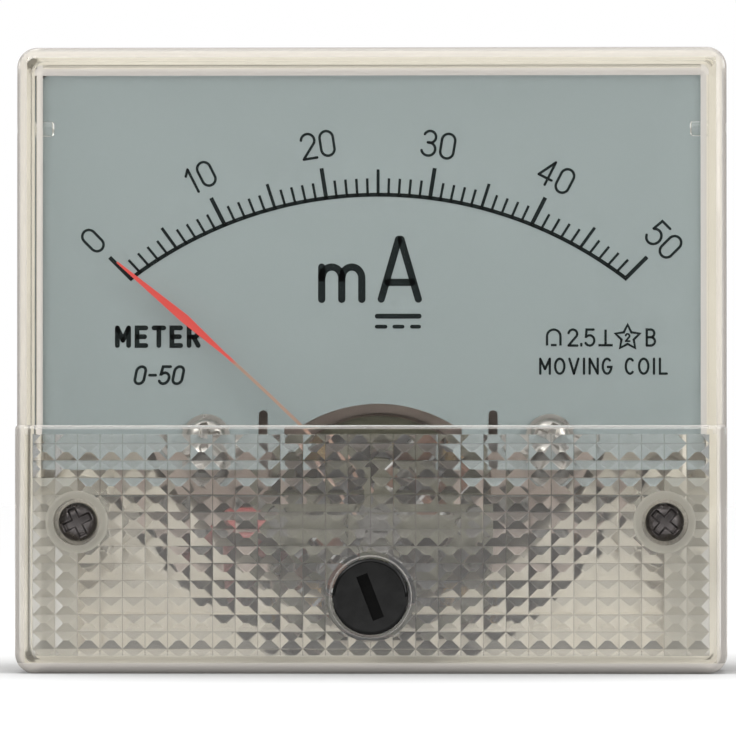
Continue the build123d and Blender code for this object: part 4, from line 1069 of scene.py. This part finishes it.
def cross_screw(x, z, front, tip, head_r, tall, shank_r, turn, rings=56, around=120):
    """Domed screw with a cross recess: rings of growing radius over the head, then down the shank to a pole.

    The dome is tall times the cube root of one less the cube of r / R. Each arm of the recess sinks by a
    ramp of its half width less the distance across it, times a ramp of its reach less the distance along it.
    """
    share = np.linspace(0, 1, rings)[1:]
    dome = tall * np.cbrt(1 - share**3)
    seat = front + tall
    angle = np.linspace(0, 2 * math.pi, around, endpoint=False)
    side, up = share[:, None] * np.cos(angle), share[:, None] * np.sin(angle)
    cosine, sine = math.cos(math.radians(turn)), math.sin(math.radians(turn))
    along, across = side * cosine + up * sine, up * cosine - side * sine
    sunk = np.zeros_like(along)
    for u, v in ((along, across), (across, along)):
        wall = np.clip((RECESS_HALF - np.abs(v)) / RECESS_SLOPE, 0, 1)
        end = np.clip((RECESS_REACH - np.abs(u)) / (2 * RECESS_SLOPE), 0, 1)
        sunk = np.maximum(sunk, wall * end)
    head_y = seat - dome[:, None] + RECESS_DEEP * tall * sunk
    head = np.stack([x + head_r * side, head_y, z + head_r * up], axis=-1)
    shank = np.array([(shank_r, seat), (shank_r, tip - shank_r / 2), (shank_r / 3, tip)])
    shank_x, shank_z = x + shank[:, :1] * np.cos(angle), z + shank[:, :1] * np.sin(angle)
    lower = np.stack([shank_x, np.repeat(shank[:, 1:], around, axis=1), shank_z], axis=-1)
    return closed_rings(np.concatenate([head, lower]), (x, front + RECESS_DEEP * tall, z), (x, tip, z))


class METER_OT_screws(bpy.types.Operator):
    """Cut the cross recesses of the cover's and the dial's screws"""

    bl_idname = "meter.screws"
    bl_label = "Cut Screw Heads"

    def execute(self, context):
        for node, (head_r, tall, shank_r, turns) in SCREW_FORMS.items():
            low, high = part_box(node)
            z = (low.z + high.z) / 2
            places = (low.x + head_r * MM, high.x - head_r * MM)
            screws = [
                cross_screw(x, z, low.y, high.y, head_r * MM, tall * MM, shank_r * MM, turn)
                for x, turn in zip(places, turns)
            ]
            finish = frame["nodes"][node].material_slots[0].material
            piece = add_piece(f"{node}_cut", *join_meshes(screws), finish, "case", "nickel", (node,))
            piece.data.shade_smooth()
        return {"FINISHED"}


class METER_OT_threads(bpy.types.Operator):
    """Cut the threads of the mounting studs and the terminals"""

    bl_idname = "meter.threads"
    bl_label = "Cut Threads"

    def execute(self, context):
        thread = settings("meter_thread")
        steel = turned_metal("stud_steel", (0.55, 0.53, 0.47), 0.3, mottle=0.2)
        brass = turned_metal("terminal_brass", (0.74, 0.53, 0.25), 0.26, mottle=0.2)
        form = (STUD_LOW, STUD_HIGH, STUD_HEAD_R, STUD_STATIONS, STUD_CHAMFER)
        studs = threaded_pair(*form, thread.stud_pitch, STUD_THREAD_START)
        add_piece("mounting_stud_threads", *studs, steel, "case", "steel", ("mounting_studs",))
        form = (TERMINAL_LOW, TERMINAL_HIGH, TERMINAL_HEAD_R, TERMINAL_STATIONS, TERMINAL_CHAMFER)
        terminals = threaded_pair(*form, thread.terminal_pitch, TERMINAL_SEAT)
        add_piece("terminal_stud_threads", *terminals, brass, "case", "brass", ("terminal_studs",))
        return {"FINISHED"}


PAD_TALL = 0.6 * MM
MARK_LEVEL = 8.2 * MM
MARK_STROKE = 0.7 * MM
MARK_RAISED = 0.3 * MM


class METER_OT_marks(bpy.types.Operator):
    """Raise the plus and minus marks beside the terminals on the barrel's back"""

    bl_idname = "meter.marks"
    bl_label = "Raise Polarity Marks"

    def execute(self, context):
        half = settings("meter_thread").mark_high / 2
        back = TERMINAL_SEAT - PAD_TALL
        left = TERMINAL_LOW.x + TERMINAL_HEAD_R
        right = TERMINAL_HIGH.x - TERMINAL_HEAD_R
        strokes = (
            ((left - half, MARK_LEVEL), (left + half, MARK_LEVEL)),
            ((left, MARK_LEVEL - half), (left, MARK_LEVEL - MARK_STROKE / 2)),
            ((left, MARK_LEVEL + MARK_STROKE / 2), (left, MARK_LEVEL + half)),
            ((right - half, MARK_LEVEL), (right + half, MARK_LEVEL)),
        )
        parts = [ribbon(stroke, MARK_STROKE, back, MARK_RAISED, facing=1) for stroke in strokes]
        plastic = frame["nodes"]["rear_housing"].material_slots[0].material
        add_piece("polarity_marks", *join_meshes(parts), plastic, "case", "beige_plastic")
        return {"FINISHED"}


# studio
LIGHT_TARGET = (0.0, -0.01, 0.0)
KEY_PLACE, KEY_SIZE = (-0.28, -0.42, 0.38), 0.30
FILL_PLACE, FILL_SIZE = (0.42, -0.36, 0.16), 0.26
FLOOR_HALF = 4.0
PAPER_TONES = (0.3, 0.84)
PAPER_SHADE_FROM = 0.4
DARK_CONE = (-1.0, -0.93)
DARK_SHARE = 0.15
CLIP = (0.05, 10.0)


def area_light(name, place, size, power):
    """Square soft light that looks at the meter."""
    data = bpy.data.lights.new(name, "AREA")
    data.shape = "SQUARE"
    data.size = size
    data.energy = power
    light = place_object(name, data)
    light.location = place
    aim = np.array(LIGHT_TARGET) - np.array(place)
    lean = math.acos(-aim[2] / np.linalg.norm(aim))
    light.rotation_euler = (lean, 0.0, math.atan2(aim[1], aim[0]) - math.pi / 2)


def room_world(sky):
    """White where the camera sees it, and as a light dim, and darker still behind the camera."""
    world = bpy.data.worlds.new("room")
    world.use_nodes = True
    tree = world.node_tree
    coordinates = add_node(tree, "TexCoord").outputs["Generated"]
    across = add_node(tree, "SeparateXYZ", Vector=coordinates).outputs["Y"]
    share = remap(tree, across, DARK_SHARE, 1.0, from_min=DARK_CONE[0], from_max=DARK_CONE[1])
    glow = work_out(tree, "MULTIPLY", share, sky)
    for_camera = add_node(tree, "LightPath").outputs["Is Camera Ray"]
    strength = work_out(tree, "MAXIMUM", for_camera, glow)
    set_inputs(tree.nodes["Background"], Color=(1.0, 1.0, 1.0, 1.0), Strength=strength)
    return world


def backdrop_paper(reach):
    """White paper with a painted contact shadow: it grows darker where something stands within reach."""
    paper, tree, shader, _ = start_material("backdrop_paper")
    open_share = add_node(tree, "AmbientOcclusion", Distance=reach).outputs["AO"]
    tone = remap(tree, open_share, *PAPER_TONES, from_min=PAPER_SHADE_FROM)
    set_inputs(shader, Base_Color=tone, Roughness=0.9, Specular_IOR_Level=0.1)
    return paper


def floor_sheet(name, level, half, material):
    """Square sheet at a level, reaching the given half width to each side."""
    corners = np.array([(-1, -1), (1, -1), (1, 1), (-1, 1)]) * half
    points = np.column_stack([corners, np.full(len(corners), level)])
    mesh_object(name, points, [[0, 1, 2, 3]], material)


class METER_OT_stage(bpy.types.Operator):
    """Set up the floor, soft lights and camera"""

    bl_idname = "meter.stage"
    bl_label = "Set Up Studio"

    def execute(self, context):
        stage = settings("meter_stage")
        scene = context.scene
        scene.view_settings.view_transform = "Standard"
        scene.world = room_world(stage.sky)
        floor_sheet("studio_floor", CAD_BOX[0][2], FLOOR_HALF, backdrop_paper(stage.contact))
        area_light("key_light", KEY_PLACE, KEY_SIZE, stage.key_power)
        area_light("fill_light", FILL_PLACE, FILL_SIZE, stage.fill_power)
        overhead = bpy.data.lights.new("overhead_light", "SUN")
        overhead.energy = stage.overhead
        overhead.angle = stage.overhead_spread
        place_object("overhead_light", overhead)
        camera_data = bpy.data.cameras.new("photo_camera")
        camera_data.lens = camera_data.sensor_width * stage.distance / stage.frame_width
        camera_data.clip_start, camera_data.clip_end = CLIP
        camera = place_object("photo_camera", camera_data)
        front_middle = (COVER_LOW.z + COVER_HIGH.z) / 2
        target = np.array([-stage.centre_right, COVER_LOW.y, front_middle - stage.centre_up])
        back = np.array([math.sin(stage.turn), -math.cos(stage.turn), -math.tan(stage.tilt)])
        camera.location = target + stage.distance * back / np.linalg.norm(back)
        camera.rotation_euler = (math.pi / 2 + stage.tilt, 0.0, stage.turn)
        scene.camera = camera
        return {"FINISHED"}


class METER_PT_looks(bpy.types.Panel):
    """Steps and sizes of the panel meter's looks"""

    bl_idname = "METER_PT_looks"
    bl_label = "Panel Meter"
    bl_space_type = "VIEW_3D"
    bl_region_type = "UI"
    bl_category = "Panel Meter"

    def draw(self, context):
        for operator in OPERATORS:
            self.layout.operator(operator.bl_idname)
        for name, kind in GROUPS.items():
            box = self.layout.box()
            for label in kind.__annotations__:
                box.prop(getattr(context.scene, name), label)


GROUPS = {
    "meter_print": PrintSettings,
    "meter_finish": FinishSettings,
    "meter_thread": ThreadSettings,
    "meter_stage": StageSettings,
}
OPERATORS = (
    METER_OT_case_finish,
    METER_OT_movement_finish,
    METER_OT_scale,
    METER_OT_figures,
    METER_OT_unit,
    METER_OT_signs,
    METER_OT_screws,
    METER_OT_threads,
    METER_OT_marks,
    METER_OT_stage,
)


def register():
    """Registers the groups of settings, the steps and the panel."""
    for name, kind in GROUPS.items():
        bpy.utils.register_class(kind)
        setattr(bpy.types.Scene, name, bpy.props.PointerProperty(type=kind))
    for operator in OPERATORS:
        bpy.utils.register_class(operator)
    bpy.utils.register_class(METER_PT_looks)


def unregister():
    """Takes everything that register adds away again."""
    bpy.utils.unregister_class(METER_PT_looks)
    for operator in reversed(OPERATORS):
        bpy.utils.unregister_class(operator)
    for name, kind in GROUPS.items():
        delattr(bpy.types.Scene, name)
        bpy.utils.unregister_class(kind)


def main():
    register()
    for operator in OPERATORS:
        family, step = operator.bl_idname.split(".")
        getattr(getattr(bpy.ops, family), step)()
    bpy.context.view_layer.update()


if __name__ == "__main__":
    main()
